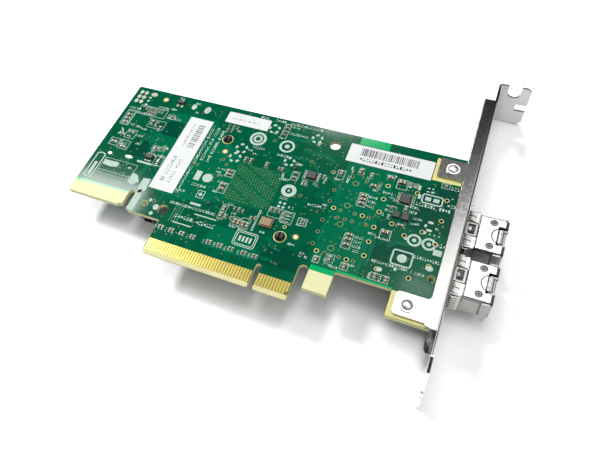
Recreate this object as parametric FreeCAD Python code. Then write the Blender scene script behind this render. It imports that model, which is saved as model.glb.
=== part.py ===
import FreeCAD, Part
import math
import os

# Dual-port fibre network card: a low-profile circuit board with an eight-lane
# edge connector, two pluggable optical modules in spring-fingered cages and a
# full-height slot bracket.
#
# Frame, millimetres: origin on the solder-side face of the board, at the centre
# of the key notch and at the bottom edge of the edge connector. +X points along
# the edge connector towards the bracket, +Y away from the edge connector, +Z out
# of the solder side of the board. The component side faces -Z.

V = FreeCAD.Vector
os.makedirs("parts", exist_ok=True)

# ---------------------------------------------------------------- dimensions
BOARD_T = 1.57            # board thickness
BOARD_LEFT = -78.5        # end of the board far from the bracket
BOARD_RIGHT = 55.0        # end of the board at the bracket
BOARD_TOP = 68.9          # low-profile board height
BOARD_LOW_L = 13.0        # lower edge left of the edge connector
BOARD_LOW_R = 13.9        # lower edge right of the edge connector
TONGUE_L = -39.15         # edge connector tongue, left side
TONGUE_R = 12.15          # edge connector tongue, right side
KEY_HALF = 0.95           # key notch half width
KEY_TOP = 8.7             # key notch top
BEVEL_H = 1.3             # height of the lead-in bevel on the tongue
BEVEL_D = 0.45            # depth of the bevel on each face
PAD_PITCH = 1.0           # contact pitch
PAD_W = 0.70              # contact width
PAD_T = 0.05              # contact thickness
PAD_Y0, PAD_Y1 = 1.35, 5.7

BRK_T = 0.86              # bracket sheet thickness
BRK_XI = 56.07            # bracket plate, inner face
BRK_W = 18.42             # bracket width across the slot
BRK_ZN = 0.86             # bracket edge on the solder side
BRK_L = 120.02            # bracket length, tab to tip
TAB_L = 11.43             # mounting tab length
TAB_Y = 107.15            # seating face of the mounting tab
TONGUE_W = 10.19          # width of the lower tongue
FLANGE_X = 52.35          # free edge of the long side flange
NOTCH_R = 2.21            # screw notch radius
NOTCH_X = 61.85           # screw notch centre
NOTCH_Z = -2.33

CAGE_X0, CAGE_X1 = 8.6, 60.4
CAGE_HALF = 7.05          # cage half width
CAGE_Z0 = -BOARD_T - 0.03 # cage face next to the board
CAGE_Z1 = -11.40          # cage face far from the board
SHEET = 0.25              # cage sheet thickness
PORT_Y = {"upper": 43.45, "lower": 26.20}   # module centre lines

HEAD_X0, HEAD_X1 = 60.6, 68.4
HEAD_HALF = 6.5
HEAD_ZN, HEAD_ZF = -1.7, -11.4
PIVOT_X, PIVOT_Z, PIVOT_R = 67.5, -3.25, 0.57   # bail shaft
PIVOT_CLEAR = 0.06
ROCK_X, ROCK_Z, ROCK_R = 64.5, -3.1, 0.38       # latch rocker pivot
ROCK_CLEAR = 0.05
LC_Z = -7.9               # height of the two ferrule bores
LC_HALF_PITCH = 3.125     # half of the 6.25 mm duplex pitch
FERRULE_BORE_R = 0.63     # bore that takes a 1.25 mm ferrule

SINK_Z0, SINK_Z1 = -4.10, -14.60
SINK_X0, SINK_X1, SINK_Y0, SINK_Y1 = -35.0, 6.2, 16.6, 57.0
PIN_POS = [(-31.3, 53.2), (2.5, 20.1)]          # heat-sink push pins
PUSH_HOLE_R = 1.60        # their holes in the board
SCREW_POS = [(48.5, 63.1), (46.45, 10.0)]       # bracket screws
TOOL_HOLES = [(7.6, 62.2, 1.95), (-40.2, 17.2, 2.05)]


# ---------------------------------------------------------------- helpers
def box(x0, x1, y0, y1, z0, z1):
    x0, x1 = min(x0, x1), max(x0, x1)
    y0, y1 = min(y0, y1), max(y0, y1)
    z0, z1 = min(z0, z1), max(z0, z1)
    return Part.makeBox(x1 - x0, y1 - y0, z1 - z0, V(x0, y0, z0))


def cyl(r, h, x, y, z, d=(0, 0, 1)):
    return Part.makeCylinder(r, h, V(x, y, z), V(*d))


def path(pts):
    """Closed wire from points; a point given as (x, y, r) is rounded to radius r."""
    n = len(pts)
    segs = []
    ends = []
    for i in range(n):
        p = pts[i]
        a, b, c = V(*pts[i - 1][:2], 0), V(*p[:2], 0), V(*pts[(i + 1) % n][:2], 0)
        r = p[2] if len(p) > 2 else 0.0
        if r <= 0:
            ends.append((b, None, b))
            continue
        u, w = (a - b).normalize(), (c - b).normalize()
        ang = u.getAngle(w)
        t = r / math.tan(ang / 2)
        p1, p2 = b + u * t, b + w * t
        bis = (u + w).normalize()
        centre = b + bis * (r / math.sin(ang / 2))
        mid = centre - bis * r
        ends.append((p1, mid, p2))
    for i in range(n):
        p1, mid, p2 = ends[i]
        if mid is not None:
            segs.append(Part.Arc(p1, mid, p2).toShape())
        q = ends[(i + 1) % n][0]
        if p2.distanceToPoint(q) > 1e-6:
            segs.append(Part.makeLine(p2, q))
    return Part.Wire(segs)


def plate_xy(pts, z0, z1, holes=()):
    f = Part.Face(path(pts))
    f.translate(V(0, 0, min(z0, z1)))
    s = f.extrude(V(0, 0, abs(z1 - z0)))
    if holes:
        s = cut(s, [cyl(r, abs(z1 - z0) + 2, x, y, min(z0, z1) - 1) for x, y, r in holes])
    return s


def plate_yz(pts, x0, x1):
    """Outline given as (y, z), extruded along X."""
    s = Part.Face(path(pts)).extrude(V(0, 0, x1 - x0))
    m = FreeCAD.Matrix(0, 0, 1, x0, 1, 0, 0, 0, 0, 1, 0, 0, 0, 0, 0, 1)
    return s.transformed(m)


def plate_xz(pts, y0, y1):
    """Outline given as (x, z), extruded along Y."""
    s = Part.Face(path(pts)).extrude(V(0, 0, y1 - y0))
    m = FreeCAD.Matrix(1, 0, 0, 0, 0, 0, -1, y1, 0, 1, 0, 0, 0, 0, 0, 1)
    return s.transformed(m)


def fuse(shapes):
    s = shapes[0]
    if len(shapes) > 1:
        s = s.multiFuse(shapes[1:])
        s = s.removeSplitter()
    return s


def cut(s, tools):
    if not isinstance(tools, (list, tuple)):
        tools = [tools]
    return s.cut(Part.makeCompound(list(tools)) if len(tools) > 1 else tools[0])


def try_fillet(s, r, pick):
    edges = [e for e in s.Edges if pick(e)]
    if not edges:
        return s
    try:
        f = s.makeFillet(r, edges)
        return f if f.isValid() and f.Volume > 0 else s
    except Exception:
        return s


def try_chamfer(s, r, pick):
    edges = [e for e in s.Edges if pick(e)]
    if not edges:
        return s
    try:
        f = s.makeChamfer(r, edges)
        return f if f.isValid() and f.Volume > 0 else s
    except Exception:
        return s


def coil_spring(x, y, z0, z1, r, wr, turns, steps=12, sides=6):
    """Coil of a closed faceted tube, built from flat triangles."""
    n = turns * steps
    rings = []
    for i in range(n + 1):
        a = 2 * math.pi * i / steps
        c = V(x + r * math.cos(a), y + r * math.sin(a), z0 + (z1 - z0) * i / n)
        out_d = V(math.cos(a), math.sin(a), 0)
        up_d = V(0, 0, 1)
        rings.append([c + out_d * (wr * math.cos(2 * math.pi * k / sides)) + up_d * (wr * math.sin(2 * math.pi * k / sides))
                      for k in range(sides)])
    tri = []
    for i in range(n):
        for k in range(sides):
            p, q = rings[i][k], rings[i][(k + 1) % sides]
            u, w = rings[i + 1][k], rings[i + 1][(k + 1) % sides]
            tri += [(p, q, w), (p, w, u)]
    for ring, flip in ((rings[0], True), (rings[-1], False)):
        for k in range(1, sides - 1):
            t = (ring[0], ring[k], ring[k + 1])
            tri.append(t if flip else (t[0], t[2], t[1]))
    faces = [Part.Face(Part.makePolygon([a, b, c, a])) for a, b, c in tri]
    solid = Part.Solid(Part.Shell(faces))
    if solid.Volume < 0:
        solid.reverse()
    return solid


def save(name, shape):
    sols = shape if isinstance(shape, list) else shape.Solids
    flat = []
    for s in sols:
        flat += s.Solids
    vol = sum(s.Volume for s in flat)
    bad = [i for i, s in enumerate(flat) if not s.isValid()]
    out = flat[0] if len(flat) == 1 else Part.makeCompound(flat)
    out.exportStep("parts/%s.step" % name)
    b = out.BoundBox
    print("%-34s solids %3d vol %9.2f  x %.2f..%.2f y %.2f..%.2f z %.2f..%.2f%s" % (
        name, len(flat), vol, b.XMin, b.XMax, b.YMin, b.YMax, b.ZMin, b.ZMax, "  BAD %s" % bad if bad else ""))
    return out


# ---------------------------------------------------------------- board
outline = [
    (BOARD_LEFT, BOARD_TOP, 0.8), (BOARD_LEFT, 14.0, 0.8),
    (-57.2, 14.0), (-56.9, 14.6), (-55.6, 14.6),
    (-55.6, 21.2, 1.18), (-53.2, 21.2, 1.18),
    (-53.2, BOARD_LOW_L, 1.0), (TONGUE_L, BOARD_LOW_L, 0.5), (TONGUE_L, 0.5), (TONGUE_L + 0.5, 0.0),
    (-KEY_HALF - 0.35, 0.0), (-KEY_HALF, 0.5), (-KEY_HALF, KEY_TOP, 0.93), (KEY_HALF, KEY_TOP, 0.93),
    (KEY_HALF, 0.5), (KEY_HALF + 0.35, 0.0),
    (TONGUE_R - 0.5, 0.0), (TONGUE_R, 0.5), (TONGUE_R, 13.1, 1.5), (15.2, 13.1, 1.5),
    (15.2, 5.2, 0.3), (23.4, 5.2, 0.3), (23.4, BOARD_LOW_R, 0.4), (41.0, BOARD_LOW_R, 0.4),
    (41.0, 5.2, 0.3), (BOARD_RIGHT, 5.2, 0.5), (BOARD_RIGHT, BOARD_TOP, 1.0),
]
PIN_ROWS_LOW = [15.4, 25.2, 34.9, 44.6]
PIN_ROWS_HIGH = [10.7, 29.9, 39.7, 49.3]
PIN_HOLE_R = 0.52
pin_holes = []
for port, yc in PORT_Y.items():
    pin_holes += [(x, yc - 7.1) for x in PIN_ROWS_LOW] + [(x, yc + 7.1) for x in PIN_ROWS_HIGH]
    pin_holes += [(29.9, yc + 1.4), (29.9, yc - 3.95), (49.3, yc - 1.25)]
peg_holes = [(19.4, yc + s * 4.78) for yc in PORT_Y.values() for s in (-1, 1)]
small_holes = [(-47.7, 17.6, 0.80), (7.4, 21.7, 0.70), (-29.9, 47.6, 0.70), (-64.2, 65.0, 0.90), (51.0, 21.1, 0.85),
               (13.35, 38.6, 0.35), (13.4, 30.8, 0.35), (13.4, 26.0, 0.35), (13.4, 21.3, 0.35), (13.3, 43.4, 0.35),
               (-44.9, 19.4, 0.40), (-14.2, 57.9, 0.40), (2.0, 52.7, 0.40), (3.1, 37.6, 0.40), (2.6, 24.1, 0.40)]
holes = [(x, y, PUSH_HOLE_R) for x, y in PIN_POS] + TOOL_HOLES + [(x, y, 1.45) for x, y in SCREW_POS]
holes += [(x, y, PIN_HOLE_R) for x, y in pin_holes] + [(x, y, 0.80) for x, y in peg_holes] + small_holes
pcb = plate_xy(outline, -BOARD_T, 0, holes)
wedges = []
for z_face, s in ((0.0, 1), (-BOARD_T, -1)):
    w = plate_yz([(-1.0, z_face - s * (BEVEL_D + BEVEL_D / BEVEL_H)), (BEVEL_H, z_face), (BEVEL_H, z_face + s), (-1.0, z_face + s)],
                 TONGUE_L - 1, TONGUE_R + 1)
    wedges.append(w)
pcb = cut(pcb, wedges)
save("pcb", pcb)

# Contacts: 49 a side, 11 between the key and the bracket end, 38 beyond it. The
# presence-detect contacts are shorter.
xs = [1.5 + i * PAD_PITCH for i in range(11)] + [-1.5 - i * PAD_PITCH for i in range(38)]
top, bot = [], []
for x in xs:
    short_s = abs(x - 11.5) < 0.01
    short_c = x in (-6.5, -21.5, -38.5)
    top.append(box(x - PAD_W / 2, x + PAD_W / 2, 2.6 if short_s else PAD_Y0, PAD_Y1, 0, PAD_T))
    bot.append(box(x - PAD_W / 2, x + PAD_W / 2, 2.6 if short_c else PAD_Y0, PAD_Y1, -BOARD_T - PAD_T, -BOARD_T))
save("edge_contacts_solder_side", top)
save("edge_contacts_component_side", bot)

# ---------------------------------------------------------------- bracket
XI, XO = BRK_XI, BRK_XI + BRK_T
ZN, ZF = BRK_ZN, BRK_ZN - BRK_W
TIP_Y = TAB_Y + BRK_T - BRK_L
RO, RI = 1.15, 0.35
# plate with its flange: L section along Y
sec = [(FLANGE_X, ZN, 0.25), (XO, ZN, RO), (XO, ZF), (XI, ZF), (XI, ZN - BRK_T, RI), (FLANGE_X, ZN - BRK_T)]
main = plate_xz(sec, 5.6, 98.7)
sec2 = [(53.6, ZN, 0.25), (XO, ZN, RO), (XO, ZF), (XI, ZF), (XI, ZN - BRK_T, RI), (53.6, ZN - BRK_T)]
low = plate_xz(sec2, -2.1, 5.6)
low = low.cut(plate_xy([(53.0, -3.0), (55.1, -3.0), (53.6, -0.9), (53.0, -0.9)], ZN - BRK_T - 0.5, ZN + 0.5))
# lower end: full width, one-sided taper, then the tongue
tail = plate_yz([(-2.1, ZN), (-7.6, ZN), (-10.6, ZF + TONGUE_W, 0.6), (TIP_Y, ZF + TONGUE_W, 0.5),
                 (TIP_Y, ZF, 1.2), (-2.1, ZF)], XI, XO)
# upper end of the plate and the tab that turns outwards
up = plate_yz([(98.7, ZN), (TAB_Y - 0.35, ZN), (TAB_Y - 0.35, ZF), (98.7, ZF)], XI, XO)
bend = [(XI, TAB_Y - 0.36), (XO, TAB_Y - 0.36)]
tabprof = Part.Wire([
    Part.makeLine(V(XI, TAB_Y - 0.36, 0), V(XO, TAB_Y - 0.36, 0)),
    Part.Arc(V(XO, TAB_Y - 0.36, 0), V(XO + 0.1054, TAB_Y - 0.1054, 0), V(XO + 0.36, TAB_Y, 0)).toShape(),
    Part.makeLine(V(XO + 0.36, TAB_Y, 0), V(XO + 0.36, TAB_Y + BRK_T, 0)),
    Part.Arc(V(XO + 0.36, TAB_Y + BRK_T, 0), V(XO + 0.36 - 1.22 * 0.7071, TAB_Y - 0.36 + 1.22 * 0.7071, 0), V(XI, TAB_Y - 0.36, 0)).toShape(),
])
bend_s = Part.Face(tabprof).extrude(V(0, 0, BRK_W))
bend_s.translate(V(0, 0, ZF))
TX = XI + TAB_L
tab_pts = [(XO + 0.36, ZF), (TX - 1.5, ZF), (TX, ZF + 1.7), (TX, -10.7), (TX - 3.9, -10.7, 0.3), (TX - 3.9, -7.4, 0.3), (TX, -7.4),
           (TX, ZN - 1.3), (TX - 1.2, ZN), (XO + 0.36, ZN)]
tab = plate_xz(tab_pts, TAB_Y, TAB_Y + BRK_T)
tab = cut(tab, [cyl(NOTCH_R, 4, NOTCH_X, TAB_Y - 1, NOTCH_Z, (0, 1, 0)),
                box(NOTCH_X - NOTCH_R, NOTCH_X + NOTCH_R, TAB_Y - 1, TAB_Y + 3, NOTCH_Z, ZN + 1)])
foot_u = plate_xy([(43.95, 59.15, 0.5), (FLANGE_X + 0.4, 59.15), (FLANGE_X + 0.4, 67.1), (43.95, 67.1, 0.5)], ZN - BRK_T, ZN)
foot_l = plate_xy([(42.5, 7.2), (43.3, 6.3), (FLANGE_X + 0.4, 6.3), (FLANGE_X + 0.4, 13.9), (43.3, 13.9), (42.5, 13.1)], ZN - BRK_T, ZN)
gus = []
for yy, s in ((59.15, -1), (67.1, 1), (13.9, 1)):
    c = 1.0
    g = box(FLANGE_X - c, FLANGE_X + 0.1, yy, yy + s * c, ZN - BRK_T, ZN)
    g = g.cut(cyl(c, 3, FLANGE_X - c, yy + s * c, -1.5))
    gus.append(g)
bracket = fuse([main, low, tail, up, bend_s, tab, foot_u, foot_l] + gus)
cuts = []
for yc in PORT_Y.values():
    cuts.append(try_fillet(box(XI - 1, XO + 1, yc - 7.75, yc + 7.75, -1.05, -12.1), 0.5,
                           lambda e: abs(e.tangentAt(e.FirstParameter).x) > 0.99))
for x, y in SCREW_POS:
    cuts.append(cyl(1.55, 3, x, y, -1))
LED_Y, LED_Z = (54.5, 58.3), -6.0
for y in LED_Y:
    cuts.append(cyl(1.25, 4, XI - 1, y, LED_Z, (1, 0, 0)))
bracket = cut(bracket, cuts)
save("bracket", bracket)

# screws and nuts that clamp the feet to the board
screws, nuts = [], []
for x, y in SCREW_POS:
    rim = cyl(2.2, 0.40, x, y, ZN).cut(cyl(1.72, 0.6, x, y, ZN + 0.12))
    dome = Part.makeSphere(1.9, V(x, y, ZN + 1.15 - 1.9)).common(cyl(1.5, 2.0, x, y, ZN + 0.02))
    shaft = cyl(1.15, ZN + BOARD_T + 2.45, x, y, -BOARD_T - 2.4)
    screws.append(fuse([rim, dome, shaft]))
    hexp = [V(x + 2.6 * math.cos(math.radians(60 * k + 30)), y + 2.6 * math.sin(math.radians(60 * k + 30)), 0) for k in range(6)]
    n = Part.Face(Part.makePolygon(hexp + [hexp[0]])).extrude(V(0, 0, 2.0))
    n.translate(V(0, 0, -BOARD_T - 2.0))
    nuts.append(n.cut(cyl(1.16, 4, x, y, -BOARD_T - 3)))
save("bracket_screws", screws)
save("bracket_nuts", nuts)


# ---------------------------------------------------------------- cages and what is in them
def cage(yc):
    a, zt, zb = CAGE_HALF, CAGE_Z0, CAGE_Z1
    outer = box(CAGE_X0, CAGE_X1, yc - a, yc + a, zb, zt)
    outer = try_fillet(outer, 0.45, lambda e: abs(e.tangentAt(e.FirstParameter).x) > 0.99)
    inner = box(CAGE_X0 + SHEET, CAGE_X1 + 1, yc - a + SHEET, yc + a - SHEET, zb + SHEET, zt - SHEET)
    inner = try_fillet(inner, 0.2, lambda e: abs(e.tangentAt(e.FirstParameter).x) > 0.99)
    s = outer.cut(inner)
    # floor open behind the nose, for the host connector
    s = s.cut(box(CAGE_X0 + SHEET, 29.62, yc - a + 0.9, yc + a - 0.9, zt - 0.5, zt + 0.5))
    # latch tongue: slots either side, a window for the boss
    s = cut(s, [box(54.0, CAGE_X1 + 1, yc - 2.80, yc - 2.35, zt - 0.5, zt + 0.5),
                box(54.0, CAGE_X1 + 1, yc + 2.35, yc + 2.80, zt - 0.5, zt + 0.5),
                box(57.55, 59.75, yc - 1.95, yc + 1.95, zt - 0.5, zt + 0.5)])
    # vent holes in the far wall
    vents = []
    for i in range(7):
        for j in range(3):
            vents.append(cyl(0.75, 1.0, 14.5 + i * 5.4, yc + (j - 1) * 3.6, zb - 0.4))
    s = cut(s, vents)
    pins = []
    for x in PIN_ROWS_LOW:
        pins.append(box(x - 0.28, x + 0.28, yc - a, yc - a + SHEET, -0.35, zt))
    for x in PIN_ROWS_HIGH:
        pins.append(box(x - 0.28, x + 0.28, yc + a - SHEET, yc + a, -0.35, zt))
    # tabs that join the pins to the walls below the rounded corner
    for x in PIN_ROWS_LOW:
        pins.append(box(x - 0.28, x + 0.28, yc - a, yc - a + SHEET, zt, zt - 0.8))
    for x in PIN_ROWS_HIGH:
        pins.append(box(x - 0.28, x + 0.28, yc + a - SHEET, yc + a, zt, zt - 0.8))
    pins.append(box(49.02, 49.58, yc - 1.375, yc - 1.125, -0.35, zt - SHEET))
    for y in (yc + 1.4, yc - 3.95):
        pins.append(box(29.62, 29.87, y - 0.28, y + 0.28, -0.35, zt - SHEET))
    return fuse([s] + pins)


def collar(yc):
    """Spring-finger collar round the cage nose; the free ends reach back to the bracket."""
    a, t = CAGE_HALF, 0.14
    g = 0.0
    zt, zb = CAGE_Z0 + g, CAGE_Z1 - g
    o = box(59.45, 60.25, yc - a - g - t, yc + a + g + t, zb - t, zt + t)
    o = try_fillet(o, 0.5, lambda e: abs(e.tangentAt(e.FirstParameter).x) > 0.99)
    i = box(59.0, 61.0, yc - a - g, yc + a + g, zb, zt)
    i = try_fillet(i, 0.45, lambda e: abs(e.tangentAt(e.FirstParameter).x) > 0.99)
    band = o.cut(i)
    band = band.cut(box(59.0, 61.0, yc - 2.85, yc + 2.85, zt - 0.1, zt + 1))

    def finger(width):
        # bowed strip in local coordinates: along -X from the band, bulging to +Z
        top_p = [V(59.5, 0, 0), V(58.9, 0, 0.10), V(58.2, 0, 0.34), V(57.75, 0, 0.30), V(57.15, 0, 0.06)]
        pts = [(p.x, p.z + t) for p in top_p] + [(p.x, p.z) for p in reversed(top_p)]
        w = Part.makePolygon([V(x, -width / 2, z) for x, z in pts] + [V(pts[0][0], -width / 2, pts[0][1])])
        return Part.Face(w).extrude(V(0, width, 0))
    parts = [band]
    for v in (3.75, 5.70):
        for s in (-1, 1):
            f = finger(1.60); f.translate(V(0, yc + s * v, zt)); parts.append(f)
    for k in range(7):
        v = -5.85 + k * 1.95
        f = finger(1.25); f.rotate(V(0, 0, 0), V(1, 0, 0), 180); f.translate(V(0, yc + v, zb)); parts.append(f)
    for k in range(6):
        z = CAGE_Z0 - 1.15 - k * 1.5
        f = finger(1.0); f.rotate(V(0, 0, 0), V(1, 0, 0), -90); f.translate(V(0, yc + a + g, z)); parts.append(f)
        f = finger(1.0); f.rotate(V(0, 0, 0), V(1, 0, 0), 90); f.translate(V(0, yc - a - g, z)); parts.append(f)
    return fuse(parts)


def host_connector(yc):
    b = box(10.6, 18.0, yc - 5.9, yc + 5.9, -8.9, -BOARD_T - 0.12)
    b = try_chamfer(b, 0.4, lambda e: abs(e.tangentAt(e.FirstParameter).x) > 0.99)
    b = cut(b, [box(12.4, 19, yc - 4.75, yc + 4.75, -7.85, -6.35), box(16.6, 19, yc - 4.75, yc + 4.75, -8.2, -6.0)])
    parts = [b]
    for s in (-1, 1):
        v = yc + s * 4.78
        w0, w1 = (v - 0.9, v + 1.1) if s > 0 else (v - 1.1, v + 0.9)
        parts += [box(17.9, 20.15, w0, w1, -4.2, -BOARD_T), cyl(0.72, 1.3, 19.4, v, -BOARD_T - 0.1)]
    return fuse(parts)


def host_contacts(yc):
    out = []
    for i in range(10):
        y = yc - 3.6 + i * 0.8
        out.append(fuse([box(9.35, 10.6, y - 0.16, y + 0.16, -BOARD_T - 0.14, -BOARD_T),
                         box(10.35, 10.6, y - 0.16, y + 0.16, -BOARD_T - 1.1, -BOARD_T - 0.13)]))
        out.append(fuse([box(18.0, 19.2, y - 0.16, y + 0.16, -BOARD_T - 0.14, -BOARD_T),
                         box(18.0, 18.25, y - 0.16, y + 0.16, -BOARD_T - 1.1, -BOARD_T - 0.13)]))
    return out


def module_body(yc):
    # tray inside the cage
    tray = box(20.2, HEAD_X0, yc - 6.38, yc + 6.38, -10.38, CAGE_Z0 - SHEET)
    tray = try_fillet(tray, 0.3, lambda e: abs(e.tangentAt(e.FirstParameter).x) > 0.99 and e.BoundBox.ZMax > -3)
    head = box(HEAD_X0, HEAD_X1, yc - HEAD_HALF, yc + HEAD_HALF, -11.08, HEAD_ZN)
    head = try_fillet(head, 0.45, lambda e: e.BoundBox.ZMin > HEAD_ZN - 0.01 and not (
        abs(e.tangentAt(e.FirstParameter).y) > 0.99 and e.BoundBox.XMin > HEAD_X1 - 0.1))
    # the cover's skirt lies in a rebate below z = -3.4
    head = cut(head, [box(HEAD_X0 - 1, 66.05, yc - 10, yc - 6.2, -3.42, -20), box(HEAD_X0 - 1, 66.05, yc + 6.2, yc + 10, -3.42, -20)])
    head = head.cut(box(HEAD_X0 - 1, 60.95, yc - 10, yc + 10, -10.38, -20))
    s = fuse([tray, head])
    c = []
    c.append(box(21.2, 51.7, yc - 4.9, yc + 4.9, -5.1, -20))              # cavity above the module board
    c.append(box(21.2, 51.7, yc - 5.75, yc + 5.75, -6.6, -20))            # the board rests on the ledges
    c.append(box(51.6, 59.2, yc - 5.75, yc + 5.75, -5.1, -20))            # cavity for the optics
    c.append(box(19.0, 22.0, yc - 4.75, yc + 4.75, -8.6, -6.3))           # the board's edge connector leaves here
    c.append(box(59.0, 70, yc - 5.97, yc + 5.97, -5.33, -20))             # seat of the receptacle
    c.append(box(50.0, 66.0, yc - 2.6, yc + 2.6, -4.2, -2.5))             # channel of the latch rocker
    c.append(box(50.0, HEAD_X0 + 0.001, yc - 2.6, yc + 2.6, -4.2, -1))    # open to the cage floor behind the head
    c.append(box(66.0, 70, yc - 3.55, yc + 3.55, -5.0, -2.3))             # front recess of the bail barrel
    c.append(box(66.42, 70, yc - 3.55, yc + 3.55, -2.4, 0))               # its mouth, under a short lip
    c.append(cyl(2.95, 2.0, 67.57, yc, HEAD_ZN - 0.42).cut(cyl(2.62, 3.0, 67.57, yc, HEAD_ZN - 1)))  # bowed groove behind the recess
    c.append(cyl(PIVOT_R + PIVOT_CLEAR, 20, PIVOT_X, yc - 10, PIVOT_Z, (0, 1, 0)))
    c.append(cyl(ROCK_R + ROCK_CLEAR, 6.4, ROCK_X, yc - 3.2, ROCK_Z, (0, 1, 0)))
    for sgn in (-1, 1):
        c.append(cyl(1.17, 1.0, 64.8, yc + sgn * 4.45, HEAD_ZN - 0.75))
        c.append(cyl(0.62, 3.0, 64.8, yc + sgn * 4.45, HEAD_ZN - 3.2))
    return cut(s, c)


def module_cover(yc):
    # sheet cover: narrow over the tray, wider over the head
    r1 = box(20.2, 60.9, yc - 6.68, yc + 6.68, -10.68, -4.4).cut(box(19, 62, yc - 6.40, yc + 6.40, -10.40, 0))
    r2 = box(60.62, 66.0, yc - 6.5, yc + 6.5, -11.4, -3.45).cut(box(60.0, 67, yc - 6.22, yc + 6.22, -11.10, 0))
    step = box(60.62, 60.9, yc - 6.5, yc + 6.5, -11.4, -10.45)
    return fuse([r1, r2, step])


def head_screws(yc):
    out = []
    for sgn in (-1, 1):
        x, y = 64.8, yc + sgn * 4.45
        h = cyl(1.02, 0.57, x, y, HEAD_ZN - 0.75)
        h = try_chamfer(h, 0.12, lambda e: e.BoundBox.ZMin > HEAD_ZN - 0.2)
        s = fuse([h, cyl(0.60, 2.4, x, y, HEAD_ZN - 3.1)])
        out.append(cut(s, [box(x - 0.66, x + 0.66, y - 0.16, y + 0.16, HEAD_ZN - 0.55, 0), box(x - 0.16, x + 0.16, y - 0.66, y + 0.66, HEAD_ZN - 0.55, 0)]))
    return out


def module_board(yc):
    b = box(21.6, 51.5, yc - 5.5, yc + 5.5, -7.6, -6.6)
    t = box(14.2, 21.7, yc - 4.55, yc + 4.55, -7.6, -6.6)
    t = try_chamfer(t, 0.3, lambda e: e.BoundBox.XMax < 14.3 and abs(e.tangentAt(e.FirstParameter).y) > 0.99)
    return fuse([b, t])


def optic(yc, sgn):
    y = yc + sgn * LC_HALF_PITCH
    d = (1, 0, 0)
    s = fuse([cyl(2.35, 4.6, 52.0, y, LC_Z, d), cyl(2.48, 1.2, 54.4, y, LC_Z, d), cyl(1.95, 3.4, 56.5, y, LC_Z, d),
              cyl(1.42, 4.3, 59.8, y, LC_Z, d)])
    return cut(s, cyl(FERRULE_BORE_R, 6.0, 58.8, y, LC_Z, d))


def receptacle(yc):
    core = box(61.0, 69.3, yc - 5.95, yc + 5.95, -10.95, -5.35)
    bezel = box(HEAD_X1, 69.3, yc - 6.35, yc + 6.35, -11.2, -1.95)
    bezel = try_fillet(bezel, 0.35, lambda e: abs(e.tangentAt(e.FirstParameter).x) > 0.99)
    s = fuse([core, bezel])
    c = [box(HEAD_X1 - 1, 70, yc - 3.42, yc + 3.42, -5.05, 0)]
    for sgn in (-1, 1):
        y = yc + sgn * LC_HALF_PITCH
        c.append(box(64.3, 70, y - 2.4, y + 2.4, LC_Z - 2.35, LC_Z + 2.35))
        c.append(box(66.5, 70, y - 1.3, y + 1.3, LC_Z - 2.8, LC_Z))
        c.append(cyl(1.5, 6, 59.5, y, LC_Z, (1, 0, 0)))
    return cut(s, c)


def bail(yc):
    arm = [(66.15, -2.35, 0.3), (68.75, -2.05, 0.5), (69.25, -3.9, 0.4), (68.55, -13.35, 0.45), (67.2, -13.45, 0.3), (66.75, -11.4, 0.5), (66.2, -4.6, 0.4)]
    a1 = plate_xz(arm, yc - 7.16, yc - 6.62)
    a2 = plate_xz(arm, yc + 6.62, yc + 7.16)
    bar = box(67.25, 68.5, yc - 6.7, yc + 6.7, -13.35, -12.35)
    bar = try_fillet(bar, 0.3, lambda e: abs(e.tangentAt(e.FirstParameter).y) > 0.99)
    grip = plate_xy([(66.5, yc - 3.4, 0.6), (68.52, yc - 3.4), (68.52, yc + 3.4), (66.5, yc + 3.4, 0.6)], -13.35, -12.55)
    shaft = cyl(PIVOT_R, 13.3, PIVOT_X, yc - 6.65, PIVOT_Z, (0, 1, 0))
    barrel = cyl(1.38, 4.9, PIVOT_X, yc - 2.45, PIVOT_Z, (0, 1, 0))
    lugs = []
    for s in (-1, 1):
        v0, v1 = (2.5, 3.05) if s > 0 else (-3.05, -2.5)
        lugs.append(plate_xz([(67.2, -2.45, 0.2), (69.5, -2.45, 0.3), (69.5, -3.5, 0.3), (67.2, -4.0, 0.2)], yc + v0, yc + v1))
    # saddle between the lugs, over the barrel
    saddle = box(66.95, 69.05, yc - 2.6, yc + 2.6, -2.9, -2.05).cut(cyl(1.0, 10, PIVOT_X, yc - 5, PIVOT_Z, (0, 1, 0)))
    return fuse([a1, a2, bar, grip, shaft, barrel] + lugs)


def latch(yc):
    # rocker plate, boss at the rear, pivot pin near the front
    p = box(57.3, 65.8, yc - 2.25, yc + 2.25, -3.42, -2.78)
    boss = plate_xz([(57.85, -2.9), (57.85, -1.5), (58.6, -1.42), (59.45, -1.9), (59.45, -2.9)], yc - 0.70, yc + 0.70)
    pin = cyl(ROCK_R, 6.0, ROCK_X, yc - 3.0, ROCK_Z, (0, 1, 0))
    return fuse([p, boss, pin])


for port, yc in PORT_Y.items():
    save("cage_" + port, cage(yc))
    save("emi_collar_" + port, collar(yc))
    save("host_connector_" + port, host_connector(yc))
    save("host_contacts_" + port, host_contacts(yc))
    save("module_body_" + port, module_body(yc))
    save("module_cover_" + port, module_cover(yc))
    save("module_head_screws_" + port, head_screws(yc))
    save("module_board_" + port, module_board(yc))
    save("module_transmitter_" + port, optic(yc, 1))
    save("module_receiver_" + port, optic(yc, -1))
    save("module_receptacle_" + port, receptacle(yc))
    save("bail_" + port, bail(yc))
    save("latch_" + port, latch(yc))

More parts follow.
